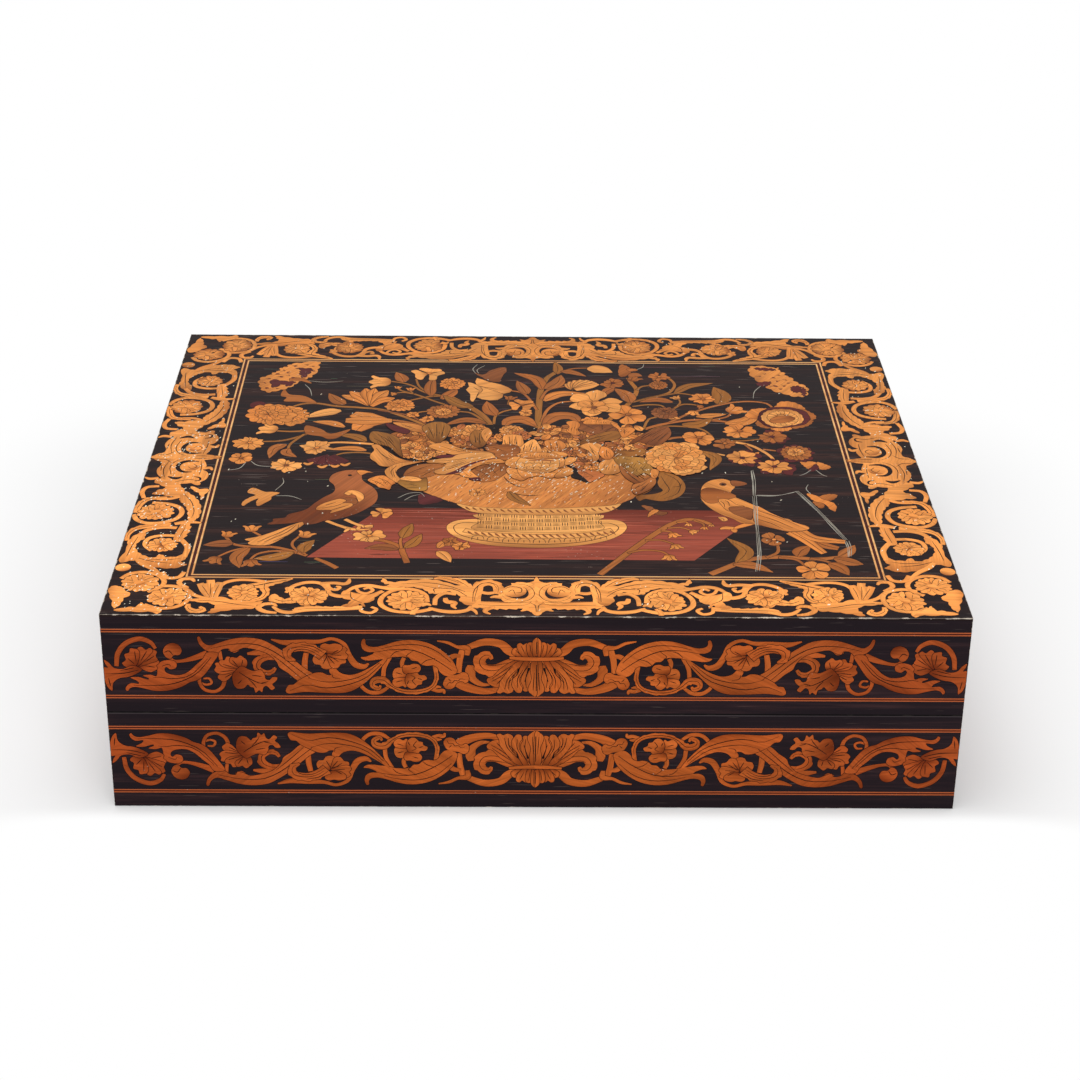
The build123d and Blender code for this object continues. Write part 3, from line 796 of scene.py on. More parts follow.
    # Third flower: a ruffled fan, and the leafy cup that it grows from
    for outline, angle in (
        ([(-164, 34), (-169, 38.6), (-171, 41), (-173.6, 42.8), (-175.4, 41.8), (-177, 40),
          (-175.6, 37.6), (-172, 35)], 150),
        ([(-164, 34), (-172, 37.6), (-176, 37.6), (-178.6, 35.4), (-177.6, 33), (-178, 30.8),
          (-175, 30.4), (-170, 32)], 190),
        ([(-164, 34), (-172, 33.6), (-175.4, 31.4), (-175.2, 29), (-172.6, 28.8), (-171.4, 26.6),
          (-168.4, 27.4), (-166, 31)], 230),
        ([(-163, 34), (-169, 31), (-170, 28.6), (-168.6, 26.8), (-166, 27.4), (-164, 25.8),
          (-162, 27.2), (-160.4, 29), (-160.6, 32.4)], 270),
    ):
        pen.patch(outline, shade=(angle, 1.0, -0.6), smooth=3, over=True)
    pen.patch([(-168.8, 38.6), (-168.6, 43.6), (-166.8, 47), (-163, 47), (-160.6, 44.6), (-159.2, 46),
               (-157.2, 46.8), (-156.4, 49.8), (-154.4, 48.2), (-152.8, 49.4), (-152, 46.4),
               (-150, 45.4), (-147.6, 48), (-145.6, 46.6), (-147, 44.4), (-145, 42.4), (-144, 40),
               (-146.6, 39.8), (-148.4, 41.6), (-150.6, 40.8), (-151, 38), (-153, 35), (-156.6, 35.8),
               (-160, 34.6), (-163.4, 32.6), (-166.4, 35)], shade=(200, -0.6, 1.0), turn=20, smooth=3,
              rise=1)
    for path in (
        [(-165, 36.6), (-160, 40.4), (-154, 43.6), (-150, 44)],
        [(-160, 41), (-157.4, 44), (-155.6, 47)],
        [(-158, 38.4), (-152.4, 39.4)],
        [(-153, 43.6), (-149, 42.6)],
        [(-166, 44), (-163.6, 41.6)],
    ):
        pen.line(path, 0.28, 2)
    for path in (
        [(-175.4, 36.4), (-168, 35.4)], [(-173.6, 31.6), (-167.4, 33.6)],
        [(-168.4, 28.8), (-165.6, 32.6)], [(-162.6, 28.8), (-163.4, 32)], [(-173, 40), (-168, 37)],
    ):
        pen.line(path, 0.26, 1)
    pen.blade([(-187, 38), (-187.2, 43.4), (-184.6, 48), (-179, 49.2), (-174.6, 46), (-173, 40.6)],
              [1.1, 1, 1, 1, 1.1, 1.2], rise=-3)
    pen.blade([(-186.8, 43.6), (-183.6, 44.8), (-180.6, 43.6), (-181.8, 40.8), (-185, 40.8)],
              [0.7, 0.7, 0.7, 0.7, 0.5], rise=-4)
    if not outer:
        return
    # Last leaf, with a ball and a half flower towards the corner
    pen.patch([(-176, 24.6), (-179.4, 31), (-183, 36.6), (-186, 40), (-189, 42), (-193, 43.4),
               (-197, 46), (-203, 48.2), (-208, 49), (-213, 48.8), (-218, 47.4), (-223, 46.4),
               (-226, 47.2), (-227.4, 49), (-228.6, 48), (-227.6, 45.6), (-225, 44), (-221, 44.4),
               (-222, 42.4), (-225.4, 40.4), (-221, 40), (-216, 41.6), (-215.4, 40.6), (-218.4, 39),
               (-214, 38.5), (-211, 39.4), (-210.2, 36), (-210.4, 32.4), (-207, 29.6), (-202, 29),
               (-199.4, 31), (-200, 34), (-203, 34.9), (-205, 33.4), (-206.2, 34.6), (-205.4, 37),
               (-202, 38.4), (-197, 38.4), (-192.6, 36), (-188.6, 32), (-184.6, 28), (-182, 24)],
              shade=(70, -1, 0.7), turn=-35)
    pen.line([(-180, 27), (-189, 38), (-201, 44), (-212, 45.4), (-224, 45.4)], 0.28, rise=1)
    pen.line([(-182, 28), (-192, 38.6), (-202, 41), (-209, 40), (-213, 40.6)], 0.24, rise=1)
    pen.line([(-207.6, 33), (-204, 31.6), (-202.6, 33)], rise=1)
    pen.blade([(-182, 24.4), (-189, 27.4), (-196, 29.4), (-201, 29.4), (-203.4, 26)],
              [2, 1.6, 1, 1, 0.8], rise=-2)
    pen.patch([(-206.4, 23.4), (-205, 27), (-202.4, 28), (-200.6, 25.8), (-197.6, 25.6), (-196, 22.6),
               (-197.6, 19.2), (-201, 18), (-204.6, 19.6)], shade=(300, -0.6, 0.9), smooth=3, rise=-1)
    pen.line([(-205.6, 24), (-203, 23), (-201, 25.8)], 0.3)
    pen.blade([(-232.6, 33), (-231.4, 25), (-226.6, 18.4), (-219, 15.4), (-213, 17.6), (-210.4, 21.6)],
              [1.2, 1.4, 1.5, 1.5, 1.3, 0.9], rise=-2)
    for outline, angle in (
        ([(-221, 33), (-215, 36.6), (-212, 36), (-210, 34.4), (-210.6, 32.4), (-208.8, 30.6),
          (-210.4, 28.6), (-216, 30)], 20),
        ([(-221, 33), (-213, 30.6), (-209.6, 29), (-210.6, 26.4), (-209.8, 23.6), (-212.4, 22.4),
          (-216, 26)], 330),
        ([(-221, 33), (-215, 27), (-212, 23), (-213.6, 21.2), (-215.8, 22.4), (-218.2, 20.4),
          (-220.4, 21.8), (-221, 27)], 285),
        ([(-222, 33), (-219.4, 26), (-220, 22.6), (-221.8, 21.8), (-224.4, 21.6), (-225, 24.2),
          (-227.8, 25.4), (-227.2, 29), (-229.4, 31), (-227, 33.6)], 230),
    ):
        pen.patch(outline, shade=(angle, 1.0, -0.6), smooth=3, over=True)
    for path in (
        [(-211.6, 33.6), (-217, 32.6)], [(-211.4, 26.4), (-217, 30.4)], [(-215.4, 23.4), (-219, 29.6)],
        [(-222, 23.4), (-221.6, 30)], [(-226, 28), (-222.6, 31.6)],
    ):
        pen.line(path, 0.26, 1)
    pen.patch([(-218.6, 35), (-222.6, 38.2), (-227, 40), (-231, 40.6), (-234, 42.4), (-235.6, 45),
               (-236, 49), (-238.2, 47), (-239.6, 43), (-240.2, 40), (-240.2, 34), (-237.4, 34),
               (-238.6, 31.8), (-239.2, 29), (-236.6, 31), (-234, 34.2), (-229, 34.8), (-224, 32.6)],
              shade=(0, -0.5, 0.9), turn=10, smooth=3, rise=1)
    for path in (
        [(-220.6, 35.4), (-229, 37.6), (-239, 38)], [(-223, 34), (-231, 36)],
        [(-236.8, 46), (-237.6, 40.6)],
    ):
        pen.line(path, 0.28, 2)


# Sides longer than this many millimetres carry the last leaf of the scrolls too
full_side = 440


def front_face(name, body, origin, right, up, length, wood, material):
    """The scrolls of one side of one half, drawn on its face and mirrored about its middle."""
    panel = Panel(name, origin, right, up, length / 2)
    full = length > full_side
    for flip in (False, True):
        front_scrolls(Pen(panel, layer=6, wood=wood, seed=len(name) + flip, leafy=True).at(flip=flip),
                      full)
    panel.finish(body, material, "side_marquetry")


# Points on each lobe of a ruffled outline, and the length and depth of a lobe on the border's leaves
bump_points = 6
leaf_bump = 5.5
leaf_depth = 0.75


def ruffle(outline, depth, bumps):
    """A closed outline with small lobes all along it."""
    plan = spline(outline, bumps * bump_points, closed=True)
    ahead = np.roll(plan, -1, axis=0)
    step = ahead - np.roll(plan, 1, axis=0)
    step /= np.linalg.norm(step, axis=1)[:, None] + 1e-9
    turn = np.sign(np.sum(plan[:, 0] * ahead[:, 1] - plan[:, 1] * ahead[:, 0]))
    wave = depth * turn * (np.abs(np.sin(np.arange(len(plan)) * math.pi / bump_points)) - 0.6)
    return plan + np.stack([step[:, 1], -step[:, 0]], 1) * wave[:, None]


def leafy_patch(pen, outline, **looks):
    """A piece of the border with small lobes round its edge."""
    corners = np.array(outline, float)
    length = np.linalg.norm(np.roll(corners, -1, axis=0) - corners, axis=1).sum()
    pen.patch(ruffle(outline, leaf_depth, max(6, int(length / leaf_bump))), smooth=1, **looks)


def border_scrolls(pen):
    """One quarter of the scrolls round the top, from the middle of the front round the front left
    corner to the middle of the left side."""
    # Middle of the front: a bud, a volute, a heart and a long leaf
    leafy_patch(pen,
                [(0.6, 1.6), (-3, 4), (-4.4, 6), (-9, 6), (-7, 9.6), (-4, 13), (-2.4, 17), (0.6, 18)],
                shade=(90, -0.6, 0.6))
    leafy_patch(pen,
                [(0.6, 42.6), (-2.6, 38.6), (-5.6, 36), (-4.4, 31), (-2.6, 26), (-1.6, 20), (0.6, 17)],
                shade=(90, 0.6, -0.6))
    for widths, path in (
        ((3.4, 4, 4, 3.6, 3, 2),
         [(-36, 13), (-28, 12.4), (-20, 12), (-11, 11.8), (-5, 13.4), (-1.6, 19)]),
        ((1.3, 2.6, 3, 3, 3.2, 3.2, 2.8, 2.4),
         [(-20.4, 25.8), (-17.6, 19.8), (-12, 16.6), (-5, 17.6), (-1.4, 24), (-2.6, 31), (-7, 35.4),
          (-14, 34.6)]),
        ((3.2, 3.4, 3.3, 3.2, 3.2, 3, 3, 2.2),
         [(-34, 12), (-34.6, 20), (-33.6, 28), (-32.4, 34.6), (-27.4, 37.6), (-22.6, 35), (-21.4, 29),
          (-22.6, 24.6)]),
        ((1.4, 1.6, 1.4), [(-31, 26.6), (-27.6, 25.4), (-24, 26)]),
        ((1.6, 1.6, 0.6), [(-19, 20.6), (-23, 21.6), (-26, 20.6)]),
        ((2, 2.6, 2.4, 0.8), [(-37, 31), (-41, 36), (-45, 40), (-48, 40.6)]),
        ((0.8, 2, 2.2, 1), [(-58, 42), (-53, 42.4), (-47, 39.4), (-42, 35)]),
    ):
        pen.blade(path, widths)
    pen.disc(-12.4, 28, 6.7, rise=-0.2)
    for path, width in (
        ([(-18, 30), (-14.6, 33), (-9, 31.6), (-8.6, 27), (-11.4, 26)], 0.3),
        ([(-16, 27), (-13.4, 29.4), (-12, 24)], 0.26),
        ([(-3, 16), (-12, 15), (-21, 15.4), (-30, 16.4)], 0.28),
        ([(-35.6, 16), (-35.2, 28), (-31, 36.4), (-25, 36.6), (-22.4, 31)], 0.28),
        ([(-0.4, 5), (-1, 12), (-3.6, 14.6)], 0.24),
    ):
        pen.line(path, width)
    leafy_patch(pen, [(-37, 33), (-46, 34.6), (-53, 38.6), (-60, 41), (-68, 40.6), (-75, 38.8),
                      (-81, 37.6), (-84.6, 39.4), (-86.4, 42.4), (-87.6, 39), (-85.4, 35.6),
                      (-82.6, 34.6), (-85.6, 32.6), (-80, 31.8), (-72, 32), (-66, 31), (-62, 28),
                      (-59.6, 25), (-55, 24.8), (-50, 27.4), (-46, 25.6), (-43, 22), (-42.6, 16),
                      (-37, 12), (-33, 18), (-34.6, 26)], shade=(260, -0.8, 0.7), turn=170)
    for path in (
        [(-40, 27), (-50, 33.6), (-62, 37), (-76, 35.4)],
        [(-39, 22), (-46, 29.6), (-56, 31), (-64, 33.6)],
        [(-57, 26), (-57.6, 30), (-53, 32)],
    ):
        pen.line(path, 0.3)
    # Loop with an eye, and the flower in its ring
    for widths, path in (
        ((1.3, 1.5, 1.4, 1.3), [(-45, 24), (-51.4, 25.2), (-56, 20), (-56.6, 12)]),
        ((1.2, 1.8, 2, 1.4, 0.5), [(-51, 20), (-50, 16), (-46, 14.6), (-46.4, 11), (-44.6, 8)]),
        ((1.2, 1.7, 1.8, 1.6, 1.4), [(-60, 9), (-53, 5.6), (-45, 4.6), (-38.6, 6.6), (-36, 11)]),
        ((1.6, 1.2, 0.5), [(-37.4, 9), (-34.4, 6), (-33, 2)]),
        ((0.6, 1.3, 1.8, 1.2), [(-25.6, 2.4), (-28.4, 4.6), (-27.6, 8), (-23, 10)]),
        ((1.6, 1.7, 1.6, 1.5, 1.5, 1.5, 1.6, 1.6, 1.5, 1.7, 1.4),
         [(-61, 15), (-62.4, 23), (-67.6, 28.4), (-75, 29.8), (-82, 26.6), (-86.4, 19.6), (-86.2, 12),
          (-81, 6.4), (-74, 4.2), (-66, 4.6), (-57, 8)]),
        ((1.4, 1.6, 1.5), [(-66, 9), (-68, 5), (-68.4, 1.6)]),
    ):
        pen.blade(path, widths)
    pen.rosette(-72.4, 17.4, 11.2, 6, 20, rings=1)
    pen.disc(-72.8, 17, 2.6)
    pen.blade([(-64, 12), (-61, 13), (-58.6, 11.4)], [2, 1.6, 0.5])
    # Eye of a spiral between leaves
    for widths, path in (
        ((1, 1.6, 1.6, 1.6, 1.8, 1),
         [(-107, 26), (-101.6, 31.8), (-94.6, 33.6), (-87, 31.4), (-80, 29.8), (-74, 31)]),
        ((1.8, 1.9, 1.8, 1.4), [(-106, 25), (-99.6, 22.6), (-92.6, 22), (-86, 27.4)]),
        ((1, 1.1, 1.1, 1.1, 1.1, 1),
         [(-101.4, 31), (-99.2, 26.4), (-95, 24.8), (-91.8, 28), (-94, 31), (-97, 29.4)]),
        ((0.8, 1.2, 1.2, 1.2, 0.9), [(-97.4, 11), (-96.6, 5), (-91.4, 3.2), (-88.6, 7), (-91.6, 9.6)]),
        ((2.4, 2.4, 2.2, 2.8, 3.2, 2.2),
         [(-98, 9), (-107, 8), (-115, 7.4), (-122, 7.6), (-128, 7.2), (-134, 4.4)]),
        ((1, 1.6, 1.7, 1.6, 1.4, 0.6),
         [(-143, 2.6), (-149.6, 4), (-153.6, 8), (-151, 12), (-146, 12.4), (-143.6, 9.6)]),
        ((0.8, 1.6, 1.6, 1.4), [(-146, 9.6), (-141, 4.4), (-134.6, 3.4), (-128, 7)]),
    ):
        pen.blade(path, widths)
    leafy_patch(pen, [(-107.6, 28), (-108.6, 20), (-103.6, 17), (-105, 13.4), (-108, 10), (-101, 9.6),
                      (-98, 12.6), (-95, 9.4), (-95.6, 13.6), (-91.6, 15.6), (-90, 20), (-88, 24.4),
                      (-94, 23), (-101, 24)], shade=(270, -0.5, 0.7), turn=60)
    pen.line([(-104, 26), (-103, 19), (-97, 14)], 0.28)
    # Leafy fork with its arc and hook
    for widths, path in (
        ((1, 1.5, 1.6, 1.5, 1.5, 1.6, 1.8, 1.6),
         [(-140, 25), (-136.6, 32.4), (-129.6, 36.6), (-122, 36), (-117.6, 30.6), (-115.6, 24.4),
          (-110, 21.4), (-104, 22.4)]),
        ((1.4, 1.6, 1.6, 1.5, 0.6),
         [(-122, 35.6), (-114, 36.2), (-108.4, 35.2), (-106, 37.2), (-105.6, 41.4)]),
        ((1.2, 1.2, 1.3, 1.2, 0.6),
         [(-117.6, 35), (-116, 30.4), (-112.4, 28.4), (-110.6, 31.4), (-112.6, 32.6)]),
    ):
        pen.blade(path, widths)
    leafy_patch(pen, [(-141, 31), (-138.6, 25), (-137, 20), (-140, 18), (-143, 20.4), (-147, 23.6),
                      (-149, 17.4), (-146, 14.4), (-139, 13), (-133, 13.6), (-129, 10.4), (-125, 12),
                      (-127, 19), (-131, 27), (-135, 30)], shade=(330, -0.6, 0.6), turn=100)
    pen.line([(-146, 18), (-141, 15.4), (-135, 17)], 0.28)
    pen.rosette(-127, 22, 11, 6, 150, squash=0.9, rings=1)
    # Second flower, in a leaf that curls round it
    for widths, path in (
        ((0.7, 1.8, 2.4, 2.6, 2, 1.8, 1.6, 1.3, 0.6),
         [(-137.6, 41), (-145, 37.6), (-152, 35.6), (-152.6, 30), (-151, 25), (-153, 19), (-159, 16.2),
          (-166, 17.4), (-170.6, 21)]),
        ((1.2, 1.5, 1.4, 1.4, 1.6),
         [(-178, 31), (-174.6, 36.4), (-168, 39.2), (-159, 38.8), (-149, 36)]),
        ((3, 3.2, 2.4, 0.8), [(-162, 31), (-154, 34), (-146, 37.4), (-138.6, 40.6)]),
    ):
        pen.blade(path, widths)
    pen.line([(-160, 32), (-150, 36), (-140, 39.4)], 0.26)
    pen.rosette(-163.6, 24.6, 9.6, 5, 50, rings=1)
    pen.disc(-163, 24.6, 2)
    leafy_patch(pen, [(-180, 1.8), (-172, 4.4), (-164, 6.4), (-156, 7.4), (-154.6, 11), (-152, 15),
                      (-160, 15.4), (-169, 17), (-177.6, 20.6), (-186, 18), (-195, 18), (-190, 14.6),
                      (-181, 13), (-177.6, 9), (-179.6, 5.6)], shade=(90, 0.7, -0.5), turn=10)
    pen.line([(-188, 16), (-176, 14.6), (-165, 11.4), (-156, 10)], 0.3)
    # Fan of leaves and the hooks beside it
    for tip_x, tip_y, half in ((-189, 35, 3), (-183.6, 39, 3.2), (-177.6, 36.4, 3)):
        pen.blade([(-180, 16), ((tip_x - 181) / 2, 27), (tip_x, tip_y)], [2, half, half * 0.7])
    for widths, path in (
        ((1.2, 1.5, 1.5, 1.4, 1.3), [(-214, 30), (-206, 32), (-197, 29), (-190, 21.4), (-180, 16.6)]),
        ((0.8, 1.5, 1.6, 1.5, 0.7),
         [(-195, 30), (-200.6, 34.6), (-199.6, 39.6), (-194.6, 40), (-192.4, 37)]),
        ((1.2, 1.8, 2.2, 2, 0.8), [(-192.6, 12), (-192, 7), (-187.6, 4), (-184, 6), (-186, 9)]),
        ((1.5, 1.5, 1.5, 1.5, 1.5, 1.4),
         [(-197, 30), (-193.4, 23), (-194.4, 14), (-200, 8.2), (-209, 7), (-217, 11)]),
        ((1.5, 1.5, 1.5, 1.5, 1.5, 1.4, 1.4),
         [(-234, 40), (-230, 45.6), (-222, 47.6), (-213.6, 44), (-209.4, 37), (-211, 30), (-217, 25)]),
        ((1.4, 1.7, 1.3), [(-209, 7.6), (-208, 4), (-209.4, 1.4)]),
    ):
        pen.blade(path, widths)
    for x, y, radius, turn in ((-205.6, 19.4, 10.6, 10), (-223.4, 35.4, 10.4, 40)):
        pen.rosette(x, y, radius * 1.06, 5, turn, rings=1)
        pen.disc(x, y, 2.8)
    leafy_patch(pen, [(-239, 30), (-234, 31.6), (-229, 26), (-226, 22), (-229, 18), (-229.6, 13),
                      (-231.6, 8), (-233.6, 7.6), (-235.4, 15), (-238, 22)], shade=(180, -0.5, 0.6))
    leafy_patch(pen, [(-233, 4.4), (-226, 8), (-221, 8.6), (-219, 13), (-215, 9.4), (-210, 6.6),
                      (-207.6, 2), (-212, 3), (-222, 3)], shade=(90, 0.5, -0.5))
    # Up the side: leaves round a flower, a second flower, a bell and the volute in the middle
    pen.disc(-235, 53, 4.4)
    leafy_patch(pen, [(-238.6, 59.6), (-231, 61), (-227, 62), (-224, 56), (-214, 52.6), (-206, 52.4),
                      (-199.6, 56.6), (-203, 60), (-200.4, 65), (-202, 72), (-205, 67), (-212, 65.4),
                      (-216, 68.6), (-219.6, 64.6), (-225, 67), (-229, 71), (-231.6, 77), (-231, 83),
                      (-228, 88), (-229, 95), (-234, 92), (-237, 84), (-236.6, 74)],
                shade=(270, -0.7, 0.7), turn=80)
    for path in (
        [(-235, 66), (-234, 78), (-232, 90)], [(-228, 64), (-219, 60), (-208, 58)],
        [(-222, 63), (-212, 62), (-204, 64)],
    ):
        pen.line(path, 0.3)
    for widths, path in (
        ((1.4, 1.6, 1.8, 1.4), [(-212, 43), (-217.6, 51), (-225, 57.4), (-229, 63)]),
        ((1.3, 1.5, 1.5, 1.4), [(-212, 48), (-208.4, 41.4), (-202, 42), (-199.6, 48)]),
        ((1.4, 1.5, 1.5, 1.4, 1.2), [(-209, 91), (-218, 91.4), (-225.4, 88), (-226.6, 80), (-222, 73)]),
        ((1.6, 1.8, 1.6), [(-202, 66), (-201.6, 77), (-206, 86)]),
        ((2.6, 3.6, 3.6, 2.4), [(-208.6, 84), (-207.6, 92), (-206.4, 100), (-206.6, 108)]),
        ((1.6, 2, 0.8), [(-213, 106), (-205.4, 108.6), (-197.6, 107.6)]),
        ((1.4, 1.5, 2, 2.6, 2.4),
         [(-238, 85), (-238.2, 93), (-234.6, 100), (-226, 103.6), (-215, 105)]),
        ((1.4, 1.8, 1.6, 1.6), [(-232, 92), (-227, 99), (-219, 101.6), (-211, 101)]),
        ((1.6, 1.6, 1.6, 1.6, 1.6, 1.6, 1.6, 1.6, 1.4),
         [(-230, 133), (-220.6, 131.6), (-213, 127), (-210.6, 119.6), (-213.4, 112), (-220.6, 107.6),
          (-229.6, 106.8), (-236, 111), (-239, 118)]),
        ((1.8, 2.2, 2, 1.6), [(-238.4, 120), (-237, 131), (-232.6, 138), (-222, 139.6)]),
        ((1.3, 1.5, 1.5, 1.4), [(-236, 139), (-238.2, 147), (-236, 153.4), (-229, 155)]),
        ((1.4, 1.5, 1.2), [(-228, 138), (-220, 138.4), (-213, 142)]),
        ((1.2, 1.5, 0.6), [(-206, 178.6), (-201.4, 180.4), (-199.4, 177)]),
        ((0.6, 1.5, 1.4), [(-239.4, 167), (-236, 164.8), (-231, 166)]),
    ):
        pen.blade(path, widths)
    pen.disc(-217, 80, 7.8)
    pen.rosette(-217, 80, 9, 5, 20, rings=1)
    pen.rosette(-226.4, 120.6, 10.8, 5, 35, rings=1)
    pen.disc(-226.4, 120.6, 2.8)
    leafy_patch(pen, [(-216, 151), (-210.6, 147), (-205, 140), (-201, 131), (-199.4, 120), (-201, 112),
                      (-205, 109), (-206.6, 116), (-208, 124), (-211, 131), (-214, 136), (-214.6, 143)],
                shade=(0, 0.7, -0.6), turn=95)
    pen.line([(-212, 144), (-206.6, 134), (-203.6, 122), (-204, 114)], 0.3)
    leafy_patch(pen, [(-233, 161), (-229, 157), (-225, 152.6), (-229, 149.6), (-231.6, 144),
                      (-226, 143.4), (-219, 141), (-213, 144), (-213.4, 151), (-216.6, 157),
                      (-211, 159), (-205, 156.4), (-206, 163), (-212, 166), (-220, 163.4), (-229, 166)],
                shade=(200, -0.5, 0.6))
    leafy_patch(pen, [(-209.6, 155), (-204, 151.6), (-198.2, 151), (-199.8, 144), (-201, 136.6),
                      (-202.4, 142), (-204, 146), (-208, 150)], shade=(270, -0.5, 0.6))
    pen.patch([(-198.4, 197), (-198.8, 194.4), (-201.6, 192), (-205.8, 191), (-204.6, 187),
               (-203.6, 182), (-205.8, 178), (-202.6, 175), (-200.8, 170), (-202, 164), (-206.6, 159.6),
               (-212, 160.6), (-218, 158.6), (-224.6, 161.4), (-229.4, 166.4), (-232.6, 171.6),
               (-233.6, 178), (-232, 183.6), (-232.6, 188.4), (-236, 190.4), (-238.4, 193.6),
               (-238.6, 197)], shade=(0, 0.7, -0.6), turn=85, smooth=3)
    for widths, path in (
        ((0.4, 1.4, 1.5, 1.4, 1.2, 0.4),
         [(-209, 189), (-216, 189.4), (-220.6, 185.6), (-221, 179.4), (-217.4, 174.6),
          (-211.6, 174.4)]),
        ((0.5, 1.6, 0.5), [(-225.6, 168), (-220.6, 165.6), (-216.4, 167.6)]),
        ((0.3, 0.7, 0.6, 0.3), [(-209.6, 168), (-206, 166.6), (-205.4, 163.4), (-208, 162)]),
    ):
        pen.mark(path, widths, KERF, 0.6, 24)
    pen.disc(-213, 181.6, 5.4, rise=0.5, kerf=False)
    for path in (
        [(-227.6, 167), (-229.6, 178), (-227.6, 190)],
        [(-224, 170.6), (-226, 181), (-223.6, 189), (-218, 193.4)],
        [(-212, 185.6), (-209.4, 182), (-212.4, 179), (-215, 182)],
        [(-206.6, 171), (-206.6, 180), (-208, 190)],
        [(-236, 192), (-230, 191.4), (-226, 187)],
        [(-212, 193), (-203, 193.4)],
        [(-231, 176), (-231.6, 184)],
        [(-220, 161), (-212, 164), (-206, 162)],
    ):
        pen.line(path, 0.3, 1.2)


def fleck(pen, x, y, length, lean, half, rise):
    """A tiny pale loss, as long and as far over to the right as length and lean say."""
    pen.mark([(x, y), (x + lean / 2, y + length / 2), (x + lean, y + length)], [0.1, half, 0.1], CHIP,
             rise, 4)


def chips(pen, count, low, high, inlaid=None):
    """Tiny pale losses scattered over an area. Given the cells of the inlaid wood, few lie
    outside them."""
    for number in range(count):
        x, y = (pen.random.uniform(a, b) for a, b in zip(low, high))
        length = pen.random.uniform(0.3, 1.9)
        lean = pen.random.uniform(-0.2, 0.9) * length
        if inlaid is None or not number % 8 or inlaid[int(x + grid_half),
                                                      int(y - box_depth / 2 + grid_half)]:
            fleck(pen, x, y, length, lean, pen.random.uniform(0.2, 0.5), 30)


def top_border():
    """The scrolls round the top, a quarter drawn four times, and their chips."""
    panel = Panel("lid_border_scrolls", (0, 0, box_height), (1, 0, 0), (0, 1, 0), box_width / 2,
                  box_depth / 2)
    edge = box_depth / 2
    for number, (y, turn, flip) in enumerate(
        ((-edge, 0, False), (-edge, 0, True), (edge, 180, True), (edge, 180, False)),
    ):
        pen = Pen(panel, layer=1, wood=GOLD, seed=40 + number, leafy=True)
        border_scrolls(pen.at(0, y, turn, flip=flip))
    inlaid = np.zeros((2 * grid_half, 2 * grid_half), bool)
    for piece in panel.pieces:
        if piece.tones[0][0] > pale_tone:
            inlaid[covered(piece.outline)] = True
    pen = Pen(panel, layer=1, seed=50).at(0, -edge)
    for count, low, high in (
        (380, (-236, 40), (-200, 240)), (90, (-236, 240), (-200, 350)), (90, (-234, 4), (-190, 38)),
        (40, (-190, 4), (200, 38)), (50, (200, 40), (234, 200)), (90, (212, 200), (236, 370)),
        (50, (-200, 352), (200, 386)),
    ):
        chips(pen, count, low, high, inlaid)
    panel.finish("lid", inlay_lighter_front, "border_marquetry")


inlay = inlay_material("inlay_wood", 0.0, ends=(0.74, 0.62, 0.72))
inlay_worn = inlay_material("inlay_wood_worn", 1.0)
# The border's inlay, made lighter towards the front of the box
inlay_lighter_front = inlay_material("inlay_wood_lighter_front", 1.0, 1.36)

SIDES = {
    "front": ((0, -box_depth / 2), (1, 0, 0), box_width),
    "back": ((0, box_depth / 2), (-1, 0, 0), box_width),
    "left": ((-box_width / 2, 0), (0, -1, 0), box_depth),
    "right": ((box_width / 2, 0), (0, 1, 0), box_depth),
}
for side, ((x, y), right, length) in SIDES.items():
    wood = AMBER if side == "front" else RUST
    front_face(f"base_{side}_scrolls", "base", (x, y, 0), right, (0, 0, 1), length, wood, inlay)
    turned = tuple(-v for v in right)
    front_face(f"lid_{side}_scrolls", "lid", (x, y, box_height), turned, (0, 0, -1), length, wood,
               inlay)


def stem(pen, wood, width, *path):
    """A stalk that thins towards its end."""
    pen.blade(path, [width, width * 0.95, width * 0.75], wood, (0.3, 0, 0))


def leaf(pen, wood, half, *path, vein=True):
    """A leaf from its foot to its tip, with a vein."""
    pen.blade(path, [half * 0.25, half * 0.95, half, half * 0.72, 0.15], wood, (0.45, -0.2, -0.2),
              count=14)
    if vein:
        pen.line(path[:-1] + (tuple(0.3 * a + 0.7 * b for a, b in zip(path[-2], path[-1])),), 0.2)


def flower(pen, x, y, radius, count, turn, wood, heart=None, point=0.0):
    """Open petals of unequal size round a small heart. Point draws each petal's tip out."""
    chance = pen.random
    for number in range(count):
        angle = turn + 360 * (number + chance.uniform(-0.14, 0.14)) / count
        petal = pen.at(x, y, angle, radius * chance.uniform(0.78, 1.14))
        wide = 2 * math.sin(math.pi / count) * (1 - 0.25 * point) * chance.uniform(0.9, 1.2)
        tip = 0.26 * (1 - point)
        notch, lean = chance.uniform(0, 0.18) * (1 - point), chance.uniform(-0.12, 0.12) * wide
        petal.patch([(0.06, 0.05), (0.35, 0.2 * wide), (0.62, 0.42 * wide),
                     (0.86, 0.4 * wide - 0.1 * point), (1.0, tip * wide + lean),
                     (0.95 + 0.14 * point - notch, lean), (1.03, -tip * wide + lean),
                     (0.88, -0.42 * wide + 0.1 * point), (0.6, -0.42 * wide), (0.35, -0.2 * wide),
                     (0.06, -0.05)], wood,
                    (angle, chance.uniform(0.6, 1.1), chance.uniform(-1.2, -0.5)), angle, smooth=3,
                    over=True)
        if number % 2:
            petal.line([(0.8, 0.5 * lean), (0.3, 0.1 * lean)], 0.15)
    pen.disc(x + 0.08 * radius, y + 0.05 * radius, radius * 0.16, heart or BROWN)


